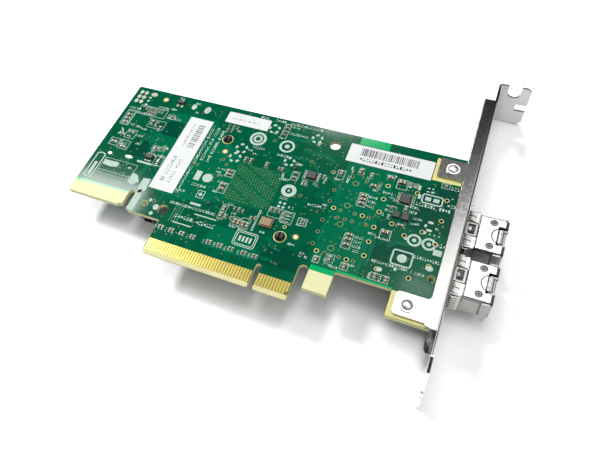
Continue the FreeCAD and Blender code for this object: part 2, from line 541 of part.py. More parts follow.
# ---------------------------------------------------------------- controller and heat sink
icx, icy = -14.4, 36.6
chip = fuse([box(icx - 10.5, icx + 10.5, icy - 10.5, icy + 10.5, -BOARD_T - 1.3, -BOARD_T - 0.45),
             box(icx - 9.0, icx + 9.0, icy - 9.0, icy + 9.0, -3.9, -BOARD_T - 1.3)])
balls = [box(icx - 9.6, icx + 9.6, icy - 9.6, icy + 9.6, -BOARD_T - 0.45, -BOARD_T)]
save("controller_ic", fuse([chip] + balls))
save("thermal_pad", box(icx - 9, icx + 9, icy - 9, icy + 9, -4.1, -3.9))
base_t = 2.2
hs = [box(SINK_X0, SINK_X1, SINK_Y0, SINK_Y1, SINK_Z0 - base_t, SINK_Z0)]
nf = 14
fin_t = 1.0
for i in range(nf):
    y = SINK_Y0 + fin_t / 2 + i * (SINK_Y1 - SINK_Y0 - fin_t) / (nf - 1)
    hs.append(box(SINK_X0, SINK_X1, y - fin_t / 2, y + fin_t / 2, SINK_Z1, SINK_Z0 - base_t + 0.01))
sink = fuse(hs)
c = []
for x, y in PIN_POS:
    c.append(cyl(1.65, 20, x, y, -20))
    c.append(cyl(4.4, 20, x, y, SINK_Z0 - base_t - 20))
sink = cut(sink, c)
save("heat_sink", sink)
pins, springs = [], []
for x, y in PIN_POS:
    head = cyl(3.3, 0.9, x, y, -12.0)
    head = try_chamfer(head, 0.25, lambda e: e.BoundBox.ZMax < -11.9)
    stem = cyl(1.5, 12.0, x, y, -11.5)
    rim = cyl(1.78, 0.35, x, y, 0)
    tip = Part.makeCone(1.78, 1.05, 1.0, V(x, y, 0.35))
    p = fuse([head, stem, rim, tip])
    pins.append(cut(p, [box(x - 0.3, x + 0.3, y - 2.6, y + 2.6, -1.4, 3)]))
    # coil spring between the head and the base of the heat sink
    wire_r, coil_r, z0, z1 = 0.30, 2.45, -11.1, SINK_Z0 - base_t
    springs.append(coil_spring(x, y, z0 + wire_r, z1 - wire_r, coil_r, wire_r, 4))
save("heat_sink_push_pins", pins)
save("heat_sink_springs", springs)


# ---------------------------------------------------------------- small parts
def smd(x, y, horiz, size, side, h):
    lx, ly = {"0402": (1.0, 0.5), "0603": (1.6, 0.8), "0805": (2.0, 1.25), "1206": (3.2, 1.6)}[size]
    if not horiz:
        lx, ly = ly, lx
    if side > 0:
        return box(x - lx / 2, x + lx / 2, y - ly / 2, y + ly / 2, 0, h)
    return box(x - lx / 2, x + lx / 2, y - ly / 2, y + ly / 2, -BOARD_T - h, -BOARD_T)


# solder side: (x, y, lies along X, size)
CAPS_S = []
for gx in (-37.3, -33.2, -29.2, -25.1, -19.0, -15.0, -11.0, -6.4, -2.5):
    CAPS_S += [(gx - 0.55, 10.6, False, "0402"), (gx + 0.55, 10.6, False, "0402")]
CAPS_S += [(-21.0, 46.3, False, "0603"), (-18.9, 46.3, False, "0603"), (-12.75, 46.3, False, "0603"),
           (-8.0, 46.2, False, "0402"), (-6.8, 46.2, False, "0402"), (-1.35, 46.0, True, "0402"), (-1.35, 44.2, True, "0402"),
           (-18.9, 49.6, True, "0402"), (-24.0, 39.7, True, "0603"), (-24.0, 38.2, True, "0603"), (-27.1, 36.8, True, "0402"),
           (-24.0, 33.5, True, "0603"), (-24.0, 31.6, True, "0603"),
           (-11.9, 61.4, True, "0402"), (-11.9, 63.1, True, "0402"), (-11.9, 64.8, True, "0402"), (-11.9, 66.4, True, "0402"),
           (-16.2, 25.6, False, "0402"), (-14.6, 25.6, False, "0402"), (-13.0, 25.4, False, "0402"),
           (-19.6, 24.2, False, "0603"), (-19.6, 21.6, False, "0603"), (-17.9, 21.6, False, "0402"), (-15.9, 21.6, False, "0402"),
           (-14.1, 20.7, False, "0603"), (-12.7, 20.7, False, "0603"), (-10.9, 20.6, False, "0603"), (-9.4, 20.6, False, "0603"),
           (-9.4, 23.6, False, "0402"), (-8.0, 24.2, False, "0402"),
           (-2.7, 29.2, False, "0402"), (-1.2, 29.2, False, "0402"), (-4.2, 29.2, False, "0402"), (0.4, 28.4, False, "0402"), (0.4, 26.6, False, "0402"),
           (23.6, 44.0, True, "0603"), (23.6, 42.4, True, "0603"), (23.6, 40.8, True, "0603"),
           (23.6, 27.9, True, "0603"), (23.6, 26.2, True, "0603"), (23.6, 24.2, True, "0603"),
           (34.1, 53.1, True, "0805"), (33.9, 32.4, True, "0805"), (30.0, 53.8, True, "0603"), (13.5, 50.9, False, "0603"),
           (17.0, 52.4, False, "0402"), (19.4, 53.4, False, "0603"), (20.8, 52.6, False, "0402"), (23.6, 52.9, False, "0603"),
           (25.4, 48.9, True, "0603"), (35.0, 16.4, False, "0603"), (38.4, 16.4, False, "0603"), (16.2, 16.2, False, "0603"),
           (20.2, 17.6, False, "0603"), (25.2, 16.6, False, "0603"), (37.6, 36.4, True, "0603"), (37.7, 43.2, False, "0603"),
           (47.8, 56.3, False, "0603"), (34.0, 42.6, True, "0402"), (33.8, 45.2, True, "0402"), (33.2, 38.6, False, "0402")]
RES_S = [(6.9, 47.6, False, "0402"), (8.3, 47.6, False, "0402"), (9.4, 46.8, False, "0402"), (2.6, 43.6, True, "0402"), (2.6, 42.7, True, "0402"),
         (7.6, 28.2, True, "0402"), (7.6, 27.1, True, "0402"), (36.9, 53.4, False, "0402"), (38.0, 53.4, False, "0402"), (39.1, 53.4, False, "0402"),
         (11.4, 16.6, True, "0402"), (27.2, 49.0, False, "0402"), (-33.4, 59.4, False, "0402"), (-31.6, 59.4, False, "0402"), (-29.9, 59.4, False, "0402"),
         (-33.4, 57.4, False, "0402"), (-31.6, 57.4, False, "0402"),
         (-66.0, 58.6, False, "0402"), (-67.2, 58.6, False, "0402"), (-68.4, 58.6, False, "0402"), (-69.6, 58.6, False, "0402"),
         (-64.8, 58.6, False, "0402"), (-63.6, 58.6, False, "0402"), (-62.4, 58.6, False, "0402"),
         (-66.0, 56.6, False, "0402"), (-67.2, 56.6, False, "0402"), (-68.4, 56.6, False, "0402"), (-64.8, 56.6, False, "0402"),
         (-63.8, 52.3, False, "0603"), (-61.6, 52.0, False, "0603"), (-59.4, 50.4, False, "0603"),
         (-57.0, 57.0, True, "0603"), (-57.3, 63.4, True, "0402"),
         (-74.4, 53.6, True, "0603"), (-74.4, 51.6, True, "0603"), (-74.4, 49.6, True, "0603"),
         (-69.4, 45.6, True, "0603"), (-72.8, 43.9, True, "0603"), (-69.4, 43.4, True, "0402"), (-70.6, 40.4, False, "0402"),
         (-73.6, 39.4, True, "0603"), (-69.0, 38.0, True, "0603"), (-52.0, 36.9, False, "0603"), (-52.0, 34.9, False, "0603"),
         (-55.6, 41.2, True, "0603"), (-52.4, 41.6, False, "0402"), (-56.2, 39.4, True, "0402")]
save("ceramic_capacitors_solder_side", [smd(x, y, h, s, 1, {"0402": 0.5, "0603": 0.8, "0805": 1.0}[s]) for x, y, h, s in CAPS_S])
save("resistors_solder_side", [smd(x, y, h, s, 1, {"0402": 0.35, "0603": 0.45}[s]) for x, y, h, s in RES_S])


def chip_top(x, y, lx, ly, h, lead=0.0, nl=0, along_x=True):
    b = box(x - lx / 2, x + lx / 2, y - ly / 2, y + ly / 2, 0.06, h)
    b = try_chamfer(b, min(0.12, h / 5), lambda e: e.BoundBox.ZMin > h - 0.01)
    parts = [b, box(x - lx / 2 + 0.15, x + lx / 2 - 0.15, y - ly / 2 + 0.15, y + ly / 2 - 0.15, 0, 0.1)]
    for i in range(nl):
        for s in (-1, 1):
            if along_x:
                px = x - lx / 2 + (i + 0.5) * lx / nl
                parts.append(box(px - 0.15, px + 0.15, y + s * (ly / 2 - 0.05), y + s * (ly / 2 + lead), 0, 0.2))
            else:
                py = y - ly / 2 + (i + 0.5) * ly / nl
                parts.append(box(x + s * (lx / 2 - 0.05), x + s * (lx / 2 + lead), py - 0.15, py + 0.15, 0, 0.2))
    return fuse(parts)


save("buffer_ic", chip_top(4.1, 46.6, 3.1, 2.9, 0.95, 0.4, 4, False))
save("power_switch_ic", chip_top(36.7, 46.9, 3.0, 3.8, 1.0, 0.4, 4, False))
save("sensor_ic", chip_top(38.35, 39.9, 2.2, 2.6, 0.9, 0.3, 3, False))
save("port_logic_ic", chip_top(35.4, 40.0, 2.1, 2.3, 0.8, 0.25, 3, False))
save("transistors_solder_side", [chip_top(-57.2, 65.2, 2.9, 1.4, 1.0, 0.45, 2, True), chip_top(-56.3, 36.6, 2.9, 1.9, 1.0, 0.5, 3, True),
                                 chip_top(-2.7, 47.9, 0.9, 1.3, 0.6, 0.2, 1, True), chip_top(-25.8, 24.6, 1.2, 1.0, 0.6, 0.2, 1, True)])
osc_b = box(-5.85, -1.45, 21.7, 25.3, 0, 0.75)
osc_l = try_fillet(box(-5.55, -1.75, 22.0, 25.0, 0.75, 1.15), 0.18, lambda e: e.BoundBox.ZMin > 1.14)
save("oscillator", fuse([osc_b, osc_l]))

# component side
CB = -BOARD_T


def chip_low(x, y, lx, ly, h, lead=0.0, nl=0, along_x=True):
    s = chip_top(x, y, lx, ly, h, lead, nl, along_x)
    return s.mirror(V(0, 0, 0), V(0, 0, 1)).translated(V(0, 0, CB))


save("power_inductors", [fuse([try_fillet(box(x - 3.4, x + 3.4, y - 3.4, y + 3.4, CB - 4.4, CB - 0.15), 0.7,
                                          lambda e: abs(e.tangentAt(e.FirstParameter).z) > 0.99),
                               box(x - 3.5, x - 2.6, y - 1.5, y + 1.5, CB - 0.4, CB), box(x + 2.6, x + 3.5, y - 1.5, y + 1.5, CB - 0.4, CB)])
                         for x, y in ((-70.0, 58.0), (-60.0, 58.0), (-70.0, 40.0), (-60.0, 40.0))])
save("polymer_capacitors", [fuse([try_chamfer(box(x - 3.3, x + 3.3, y - 3.3, y + 3.3, CB - 0.9, CB), 0.9,
                                              lambda e: abs(e.tangentAt(e.FirstParameter).z) > 0.99 and e.BoundBox.XMin > x),
                                  cyl(3.1, 5.0, x, y, CB - 5.9)]) for x, y in ((-47.5, 60.5), (-47.5, 51.5), (-47.5, 42.5), (-47.5, 33.5))])
save("voltage_regulators", [chip_low(x, y, 5.0, 5.0, 0.95, 0.1, 6, True) for x, y in ((-65.0, 49.0), (-56.0, 49.0), (-65.0, 31.0))])
save("flash_memory", [chip_low(x, y, 4.9, 3.9, 1.6, 1.0, 4, True) for x, y in ((-22.0, 63.0), (-10.0, 63.0))])
save("management_ic", chip_low(-62.5, 22.5, 7.0, 7.0, 1.1, 0.9, 8, True))
save("status_leds", [box(51.0, 52.7, y - 0.8, y + 0.8, CB - 1.0, CB) for y in LED_Y])
pipes = []
for y in LED_Y:
    p = fuse([box(50.5, 53.0, y - 1.25, y + 1.25, -7.2, CB), cyl(1.15, 5.2, 52.6, y, LED_Z, (1, 0, 0))])
    pipes.append(p.cut(box(50.9, 52.8, y - 0.9, y + 0.9, CB - 1.1, CB + 1)))
save("light_pipes", pipes)
CAPS_C = [(x, y, True, "0603") for x in (-41.0, -38.8) for y in (24.0, 26.0, 28.0, 30.0)]
CAPS_C += [(x, 66.6, False, "0402") for x in (-27.0, -25.6, -17.0, -15.6, -5.0, -3.6)]
CAPS_C += [(x, 13.0, False, "0402") for x in (-34, -31, -28, -25, -22, -19, -16, -13, -10, -7, -4)]
CAPS_C += [(-74.6, y, False, "0805") for y in (62, 57, 52, 47, 42, 37)]
save("ceramic_capacitors_component_side", [smd(x, y, h, s, -1, 0.6) for x, y, h, s in CAPS_C])
RES_C = [(x, y, False, "0402") for x in (-55.5, -54.1, -52.7) for y in (57.0, 60.0, 31.5, 34.5)]
RES_C += [(x, 26.6, True, "0402") for x in (-70.5, -68.5, -54.0, -52.0)]
save("resistors_component_side", [smd(x, y, h, s, -1, 0.35) for x, y, h, s in RES_C])
hdr = box(-46.8, -42.6, 13.15, 16.35, CB - 3.4, CB - 0.05).cut(box(-46.3, -43.1, 12.5, 15.4, CB - 2.9, CB - 0.7))
save("side_header", fuse([hdr, box(-46.8, -42.6, 15.3, 16.6, CB - 0.6, CB)] + [box(x - 0.15, x + 0.15, 13.6, 15.4, CB - 1.95, CB - 1.65) for x in (-45.9, -44.7, -43.5)]))

# labels on the solder side
LAB_T = 0.08
save("label_long", plate_xy([(-49.9, 24.3, 0.3), (-40.1, 24.3, 0.3), (-40.1, 59.6, 0.3), (-49.9, 59.6, 0.3)], 0, LAB_T))
save("label_small", plate_xy([(-36.2, 61.2, 0.3), (-18.7, 61.2, 0.3), (-18.7, 66.6, 0.3), (-36.2, 66.6, 0.3)], 0, LAB_T))
save("label_barcode", plate_xy([(12.9, 56.9, 0.3), (42.5, 56.9, 0.3), (42.5, 65.0, 0.3), (12.9, 65.0, 0.3)], 0, LAB_T))
print("nodes:", len(os.listdir("parts")))
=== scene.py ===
import bpy, bmesh, math, random
from mathutils import Vector, Matrix


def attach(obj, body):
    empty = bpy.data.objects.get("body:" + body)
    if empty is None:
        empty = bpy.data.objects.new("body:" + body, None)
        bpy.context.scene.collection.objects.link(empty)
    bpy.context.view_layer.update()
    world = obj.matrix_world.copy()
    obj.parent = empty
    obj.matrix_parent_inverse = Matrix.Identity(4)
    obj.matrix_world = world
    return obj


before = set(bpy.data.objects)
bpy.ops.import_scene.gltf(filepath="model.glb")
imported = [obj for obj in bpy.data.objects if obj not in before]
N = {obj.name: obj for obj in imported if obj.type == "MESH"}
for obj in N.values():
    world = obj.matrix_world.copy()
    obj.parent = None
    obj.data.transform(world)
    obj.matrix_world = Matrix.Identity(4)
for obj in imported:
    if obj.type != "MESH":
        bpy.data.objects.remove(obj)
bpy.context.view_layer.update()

MM = 0.001
BT = 1.57
rnd = random.Random(11)
scene = bpy.context.scene
WORLD_CEIL, WORLD_ROOM, WORLD_DARK = 1.25, 0.16, 0.06


# ------------------------------------------------------------------ materials
class Mat:
    """Small helper round a Principled material."""

    def __init__(self, name, color=(0.5, 0.5, 0.5), metallic=0.0, rough=0.5, **kw):
        m = bpy.data.materials.new(name)
        m.use_nodes = True
        self.m, self.nt = m, m.node_tree
        self.b = self.nt.nodes["Principled BSDF"]
        self.b.inputs["Base Color"].default_value = (*color[:3], 1)
        self.b.inputs["Metallic"].default_value = metallic
        self.b.inputs["Roughness"].default_value = rough
        for k, v in kw.items():
            self.b.inputs[k.replace("_", " ")].default_value = v
        self._co = None

    def node(self, kind, **kw):
        n = self.nt.nodes.new(kind)
        for k, v in kw.items():
            if k == "inp":
                for i, val in v.items():
                    n.inputs[i].default_value = val
            else:
                setattr(n, k, v)
        return n

    def link(self, a, b):
        self.nt.links.new(a, b)

    def co(self, scale=(1, 1, 1)):
        """Object coordinates in millimetres, optionally stretched."""
        t = self.node("ShaderNodeTexCoord")
        mp = self.node("ShaderNodeMapping")
        mp.inputs["Scale"].default_value = tuple(1000.0 * s for s in scale)
        self.link(t.outputs["Object"], mp.inputs["Vector"])
        return mp.outputs["Vector"]

    def noise(self, scale, detail=3.0, rough=0.55, stretch=(1, 1, 1), distortion=0.0):
        n = self.node("ShaderNodeTexNoise", inp={"Scale": scale, "Detail": detail, "Roughness": rough, "Distortion": distortion})
        self.link(self.co(stretch), n.inputs["Vector"])
        return n.outputs["Fac"]

    def ramp(self, fac, stops, interp="LINEAR"):
        r = self.node("ShaderNodeValToRGB")
        r.color_ramp.interpolation = interp
        els = r.color_ramp.elements
        while len(els) > 1:
            els.remove(els[-1])
        els[0].position, c = stops[0]
        els[0].color = (*c, 1) if len(c) == 3 else c
        for p, c in stops[1:]:
            e = els.new(p)
            e.color = (*c, 1) if len(c) == 3 else c
        self.link(fac, r.inputs["Fac"])
        return r.outputs["Color"]

    def rng(self, fac, a, b, lo=0.0, hi=1.0):
        n = self.node("ShaderNodeMapRange", inp={"From Min": lo, "From Max": hi, "To Min": a, "To Max": b})
        self.link(fac, n.inputs["Value"])
        return n.outputs["Result"]

    def bump(self, height, strength=0.3, dist=0.00005, normal=None):
        n = self.node("ShaderNodeBump", inp={"Strength": strength, "Distance": dist})
        self.link(height, n.inputs["Height"])
        if normal is not None:
            self.link(normal, n.inputs["Normal"])
        return n.outputs["Normal"]

    def set(self, **kw):
        for k, v in kw.items():
            self.link(v, self.b.inputs[k.replace("_", " ")])
        return self


def srgb(r, g, b):
    f = lambda c: (c / 255 / 12.92) if c / 255 <= 0.04045 else ((c / 255 + 0.055) / 1.055) ** 2.4
    return (f(r), f(g), f(b))


def metal(name, color, rough=0.25, grain=(1, 1, 1), spread=0.08, var=0.10, gscale=3.0, bump=0.15, bd=0.00001, crevice_shade=0.0):
    m = Mat(name, color, 1.0, rough)
    n1 = m.noise(gscale, 4, 0.6, grain)
    n2 = m.noise(0.12, 2, 0.5)
    c0 = tuple(max(0, c * (1 - var)) for c in color)
    c1 = tuple(min(1, c * (1 + var * 0.6)) for c in color)
    col = m.ramp(n2, [(0.3, c0), (0.7, c1)])
    if crevice_shade:
        # painted shade in the gaps: the base colour is darkened by ambient occlusion
        ao = m.node("ShaderNodeAmbientOcclusion", samples=6, inp={"Distance": crevice_shade * MM})
        mul = m.node("ShaderNodeMix", data_type="RGBA", blend_type="MULTIPLY")
        mul.inputs["Factor"].default_value = 1.0
        m.link(col, mul.inputs[6])
        m.link(m.ramp(ao.outputs["AO"], [(0.25, (0.04, 0.04, 0.04)), (0.85, (1, 1, 1))]), mul.inputs[7])
        col = mul.outputs[2]
    m.set(Base_Color=col, Roughness=m.rng(n1, rough - spread, rough + spread, 0.3, 0.7), Normal=m.bump(n1, bump, bd))
    return m.m


def plastic(name, color, rough=0.45, grain=8.0, bump=0.2, bd=0.00002, var=0.08, coat=0.0, spec=0.5):
    m = Mat(name, color, 0.0, rough)
    m.b.inputs["Specular IOR Level"].default_value = spec
    n1 = m.noise(grain, 4, 0.6)
    n2 = m.noise(0.2, 2, 0.5)
    c0 = tuple(max(0, c * (1 - var)) for c in color)
    c1 = tuple(min(1, c * (1 + var)) for c in color)
    m.set(Base_Color=m.ramp(n2, [(0.3, c0), (0.7, c1)]), Roughness=m.rng(n1, rough * 0.86, rough * 1.18, 0.3, 0.7),
          Normal=m.bump(n1, bump, bd))
    if coat:
        m.b.inputs["Coat Weight"].default_value = coat
        m.b.inputs["Coat Roughness"].default_value = 0.12
    return m.m


def bracket_sheet(name):
    """Plated steel with painted reflections: colour bright at the foot, darker towards the tab and light again on the
    tab, plus a dark patch painted on the flange below the lower foot.
    """
    m = Mat(name, (0.52, 0.52, 0.505), 1.0, 0.17)
    sp = m.node("ShaderNodeSeparateXYZ")
    m.link(m.co(), sp.inputs[0])
    x, y, z = sp.outputs[0], sp.outputs[1], sp.outputs[2]
    n1 = m.noise(1.5, 4, 0.6, (1, 0.3, 1))
    n2 = m.noise(0.5, 3, 0.6, (2.5, 1, 1))
    # painted reflection: colour graded along the length, bright at the bottom, near black close to the top, light on
    # the tab
    base = m.ramp(m.rng(y, 0, 1, -20, 110), [(0.0, (0.80, 0.80, 0.785)), (0.14, (0.80, 0.80, 0.785)), (0.17, (0.56, 0.56, 0.545)),
                                             (0.52, (0.46, 0.46, 0.45)), (0.74, (0.24, 0.24, 0.23)), (0.96, (0.13, 0.13, 0.125)), (0.975, (0.62, 0.62, 0.61)), (1.0, (0.62, 0.62, 0.61))])
    # painted reflection: dark streaked patch on the flange below the lower foot, where it mirrors the shadow under the
    # board
    f = None
    for v, a, b in ((y, -3.0, -2.6), (y, 5.6, 5.1), (x, 56.3, 56.0), (z, 0.0, 0.4)):
        r = m.rng(v, 0, 1, a, b)
        if f is None:
            f = r
        else:
            n = m.node("ShaderNodeMath", operation="MULTIPLY")
            m.link(f, n.inputs[0]); m.link(r, n.inputs[1])
            f = n.outputs[0]
    mix = m.node("ShaderNodeMix", data_type="RGBA")
    m.link(f, mix.inputs["Factor"])
    m.link(base, mix.inputs[6])
    m.link(m.ramp(n2, [(0.40, (0.015, 0.015, 0.014)), (0.62, (0.13, 0.13, 0.12))]), mix.inputs[7])
    # darker noise patches over a band of the plate near the upper foot (y about 40 to 66 mm)
    g = m.rng(m.noise(0.9, 4, 0.65), 0.0, 1.0, 0.44, 0.56)
    spot = m.ramp(m.rng(y, 0, 1, -20, 110), [(0.46, (0, 0, 0)), (0.53, (0.8, 0.8, 0.8)), (0.60, (0.8, 0.8, 0.8)), (0.66, (0, 0, 0))])
    k = m.node("ShaderNodeMath", operation="MULTIPLY")
    m.link(g, k.inputs[0]); m.link(spot, k.inputs[1])
    mix2 = m.node("ShaderNodeMix", data_type="RGBA")
    m.link(k.outputs[0], mix2.inputs["Factor"])
    m.link(mix.outputs[2], mix2.inputs[6])
    mix2.inputs[7].default_value = (0.26, 0.26, 0.25, 1)
    m.set(Base_Color=mix2.outputs[2], Roughness=m.rng(n1, 0.14, 0.20, 0.3, 0.7), Normal=m.bump(n1, 0.10, 0.00001))
    return m.m


def sheared_edge(name):
    """Cut edge of the bracket tip: painted reflection, bright bands with dark bands painted where the edge mirrors dark
    surroundings.
    """
    m = Mat(name, (0.7, 0.7, 0.69), 1.0, 0.4)
    sp = m.node("ShaderNodeSeparateXYZ")
    m.link(m.co(), sp.inputs[0])
    d, b = (0.02, 0.02, 0.018), (0.85, 0.85, 0.83)
    n1 = m.noise(3.0, 4, 0.6, (1, 1, 0.3))
    base = m.ramp(m.rng(sp.outputs[1], 0, 1, -20, 0), [(0.0, b), (0.285, b), (0.30, d), (0.345, d), (0.36, b), (0.62, b), (0.635, d), (0.87, d), (0.885, b)])
    m.set(Base_Color=base, Roughness=m.rng(n1, 0.34, 0.46, 0.3, 0.7), Normal=m.bump(n1, 0.3, 0.00001))
    return m.m


MATS = {
    "board": plastic("solder_mask", srgb(0, 70, 47), 0.09, 2.0, 0.05, 0.00001, 0.10, 0.0, 0.16),
    "laminate": plastic("laminate_edge", srgb(190, 186, 140), 0.6, 6.0, 0.3, 0.00002, 0.06, 0.0, 0.3),
    "gold": metal("gold_plate", srgb(166, 154, 80), 0.32, (1, 1, 1), 0.04, 0.06),
    "steel": bracket_sheet("bracket_steel"),
    # near black metal for the tab's thin edges: painted shade
    "steel_cut": metal("bracket_tab_edge_painted_shade", (0.13, 0.13, 0.125), 0.45, (1, 1, 0.3), 0.05, 0.15, 4.0, 0.4),
    # near white metal for the tip's inner face: painted reflection of the white floor
    "steel_tip": metal("bracket_tip_face_painted_reflection", (0.93, 0.93, 0.92), 0.55, (1, 0.3, 1), 0.03, 0.03, 1.5, 0.10),
    "steel_shear": sheared_edge("bracket_tip_edge_painted_reflection"),
    "screw": metal("screw_steel", (0.70, 0.70, 0.69), 0.38, crevice_shade=0.35),
    "head_screw": metal("module_screw_steel", (0.24, 0.24, 0.235), 0.28, crevice_shade=0.5),
    "cage": metal("cage_sheet", (0.42, 0.415, 0.40), 0.25, crevice_shade=1.6),
    "spring": metal("collar_sheet", (0.66, 0.65, 0.63), 0.18, crevice_shade=1.4),
    # dark copy of the casting metal for all faces but the upward ones: painted shade
    "zinc": metal("module_casting", (0.24, 0.24, 0.235), 0.34, (1, 1, 1), 0.08, 0.08, 4.0, 0.4, 0.00002, crevice_shade=1.2),
    # bright copy of the casting metal for the upward faces: painted light
    "zinc_top": metal("module_casting_top_painted_light", (0.74, 0.74, 0.73), 0.24, (1, 1, 1), 0.04, 0.03, 3.0, 0.1, 0.00001, crevice_shade=0.45),
    "black": plastic("black_moulding", srgb(26, 26, 28), 0.42),
    "green2": plastic("module_board_mask", srgb(20, 110, 60), 0.35),
    "bail": metal("bail_casting", (0.46, 0.455, 0.44), 0.30, (1, 1, 1), 0.08, 0.10, 5.0, 0.4, 0.00002, crevice_shade=1.0),
    "sink": metal("black_anodised", srgb(40, 40, 43), 0.45),
    "pad": plastic("thermal_pad", srgb(150, 152, 165), 0.8),
    "ic": plastic("ic_moulding", srgb(42, 44, 47), 0.55, 14.0, 0.3),
    "wire": metal("spring_wire", srgb(180, 180, 178), 0.25),
    "cap": plastic("capacitor_ceramic", srgb(104, 82, 60), 0.55),
    "res": plastic("resistor_film", srgb(40, 38, 42), 0.35),
    "osc": metal("oscillator_lid", srgb(118, 102, 78), 0.45),
    "ind": plastic("inductor_powder", srgb(86, 86, 88), 0.7, 6.0, 0.6, 0.00004),
    "can": metal("capacitor_can", srgb(212, 212, 214), 0.22, (1, 1, 1)),
    "led": plastic("led_package", srgb(236, 234, 220), 0.3),
    "paper": plastic("label_paper", srgb(184, 186, 186), 0.5, 3.0, 0.1, 0.00001, 0.02, 0.0, 0.3),
}
clear = Mat("light_pipe_plastic", (0.93, 0.96, 0.96), 0.0, 0.08, Transmission_Weight=0.9, IOR=1.49)
n_cl = clear.noise(2.0, 2)
clear.set(Roughness=clear.rng(n_cl, 0.05, 0.14))
MATS["clear"] = clear.m

USE = {"pcb": "board", "edge_contacts_solder_side": "gold", "edge_contacts_component_side": "gold", "bracket": "steel",
       "bracket_screws": "screw", "bracket_nuts": "screw", "controller_ic": "ic", "thermal_pad": "pad", "heat_sink": "sink",
       "heat_sink_push_pins": "black", "heat_sink_springs": "wire", "ceramic_capacitors_solder_side": "cap",
       "resistors_solder_side": "res", "buffer_ic": "ic", "power_switch_ic": "ic", "sensor_ic": "ic", "port_logic_ic": "ic",
       "transistors_solder_side": "ic", "oscillator": "osc", "power_inductors": "ind", "polymer_capacitors": "can",
       "voltage_regulators": "ic", "flash_memory": "ic", "management_ic": "ic", "status_leds": "led", "light_pipes": "clear",
       "ceramic_capacitors_component_side": "cap", "resistors_component_side": "res", "side_header": "black",
       "label_long": "paper", "label_small": "paper", "label_barcode": "paper"}
for p in ("upper", "lower"):
    USE.update({"cage_" + p: "cage", "emi_collar_" + p: "spring", "host_connector_" + p: "black", "host_contacts_" + p: "gold",
                "module_body_" + p: "zinc", "module_cover_" + p: "cage", "module_head_screws_" + p: "head_screw",
                "module_board_" + p: "green2", "module_transmitter_" + p: "zinc", "module_receiver_" + p: "zinc",
                "module_receptacle_" + p: "black", "bail_" + p: "bail", "latch_" + p: "cage"})
for node, key in USE.items():
    o = N[node]
    o.data.materials.clear()
    o.data.materials.append(MATS[key])
    for poly in o.data.polygons:
        poly.material_index = 0
# sheared edges and tip of the bracket: near black tab edges (painted shade), near white tip inner face (painted
# reflection of the white floor), banded tip front edge (painted reflection)
o = N["bracket"]
for key in ("steel_cut", "steel_tip", "steel_shear"):
    o.data.materials.append(MATS[key])
for poly in o.data.polygons:
    c, n = poly.center * 1000.0, poly.normal
    if c.y > 106.9 and abs(n.y) < 0.5:
        poly.material_index = 1
    elif c.y < -2.15 and n.z > 0.5:
        poly.material_index = 3
    elif c.y < -2.15 and n.x < -0.5:
        poly.material_index = 2
# lit and shaded copies of the casting: upward faces get the bright copy (painted light), all other faces keep the dark
# copy (painted shade)
for p in ("upper", "lower"):
    o = N["module_body_" + p]
    o.data.materials.append(MATS["zinc_top"])
    for poly in o.data.polygons:
        if poly.normal.z > 0.95 and poly.center.z > -0.0021:
            poly.material_index = 1
# sawn edges of the board show the bare laminate
o = N["pcb"]
o.data.materials.append(MATS["laminate"])
for poly in o.data.polygons:
    if abs(poly.normal.z) < 0.97:
        poly.material_index = 1

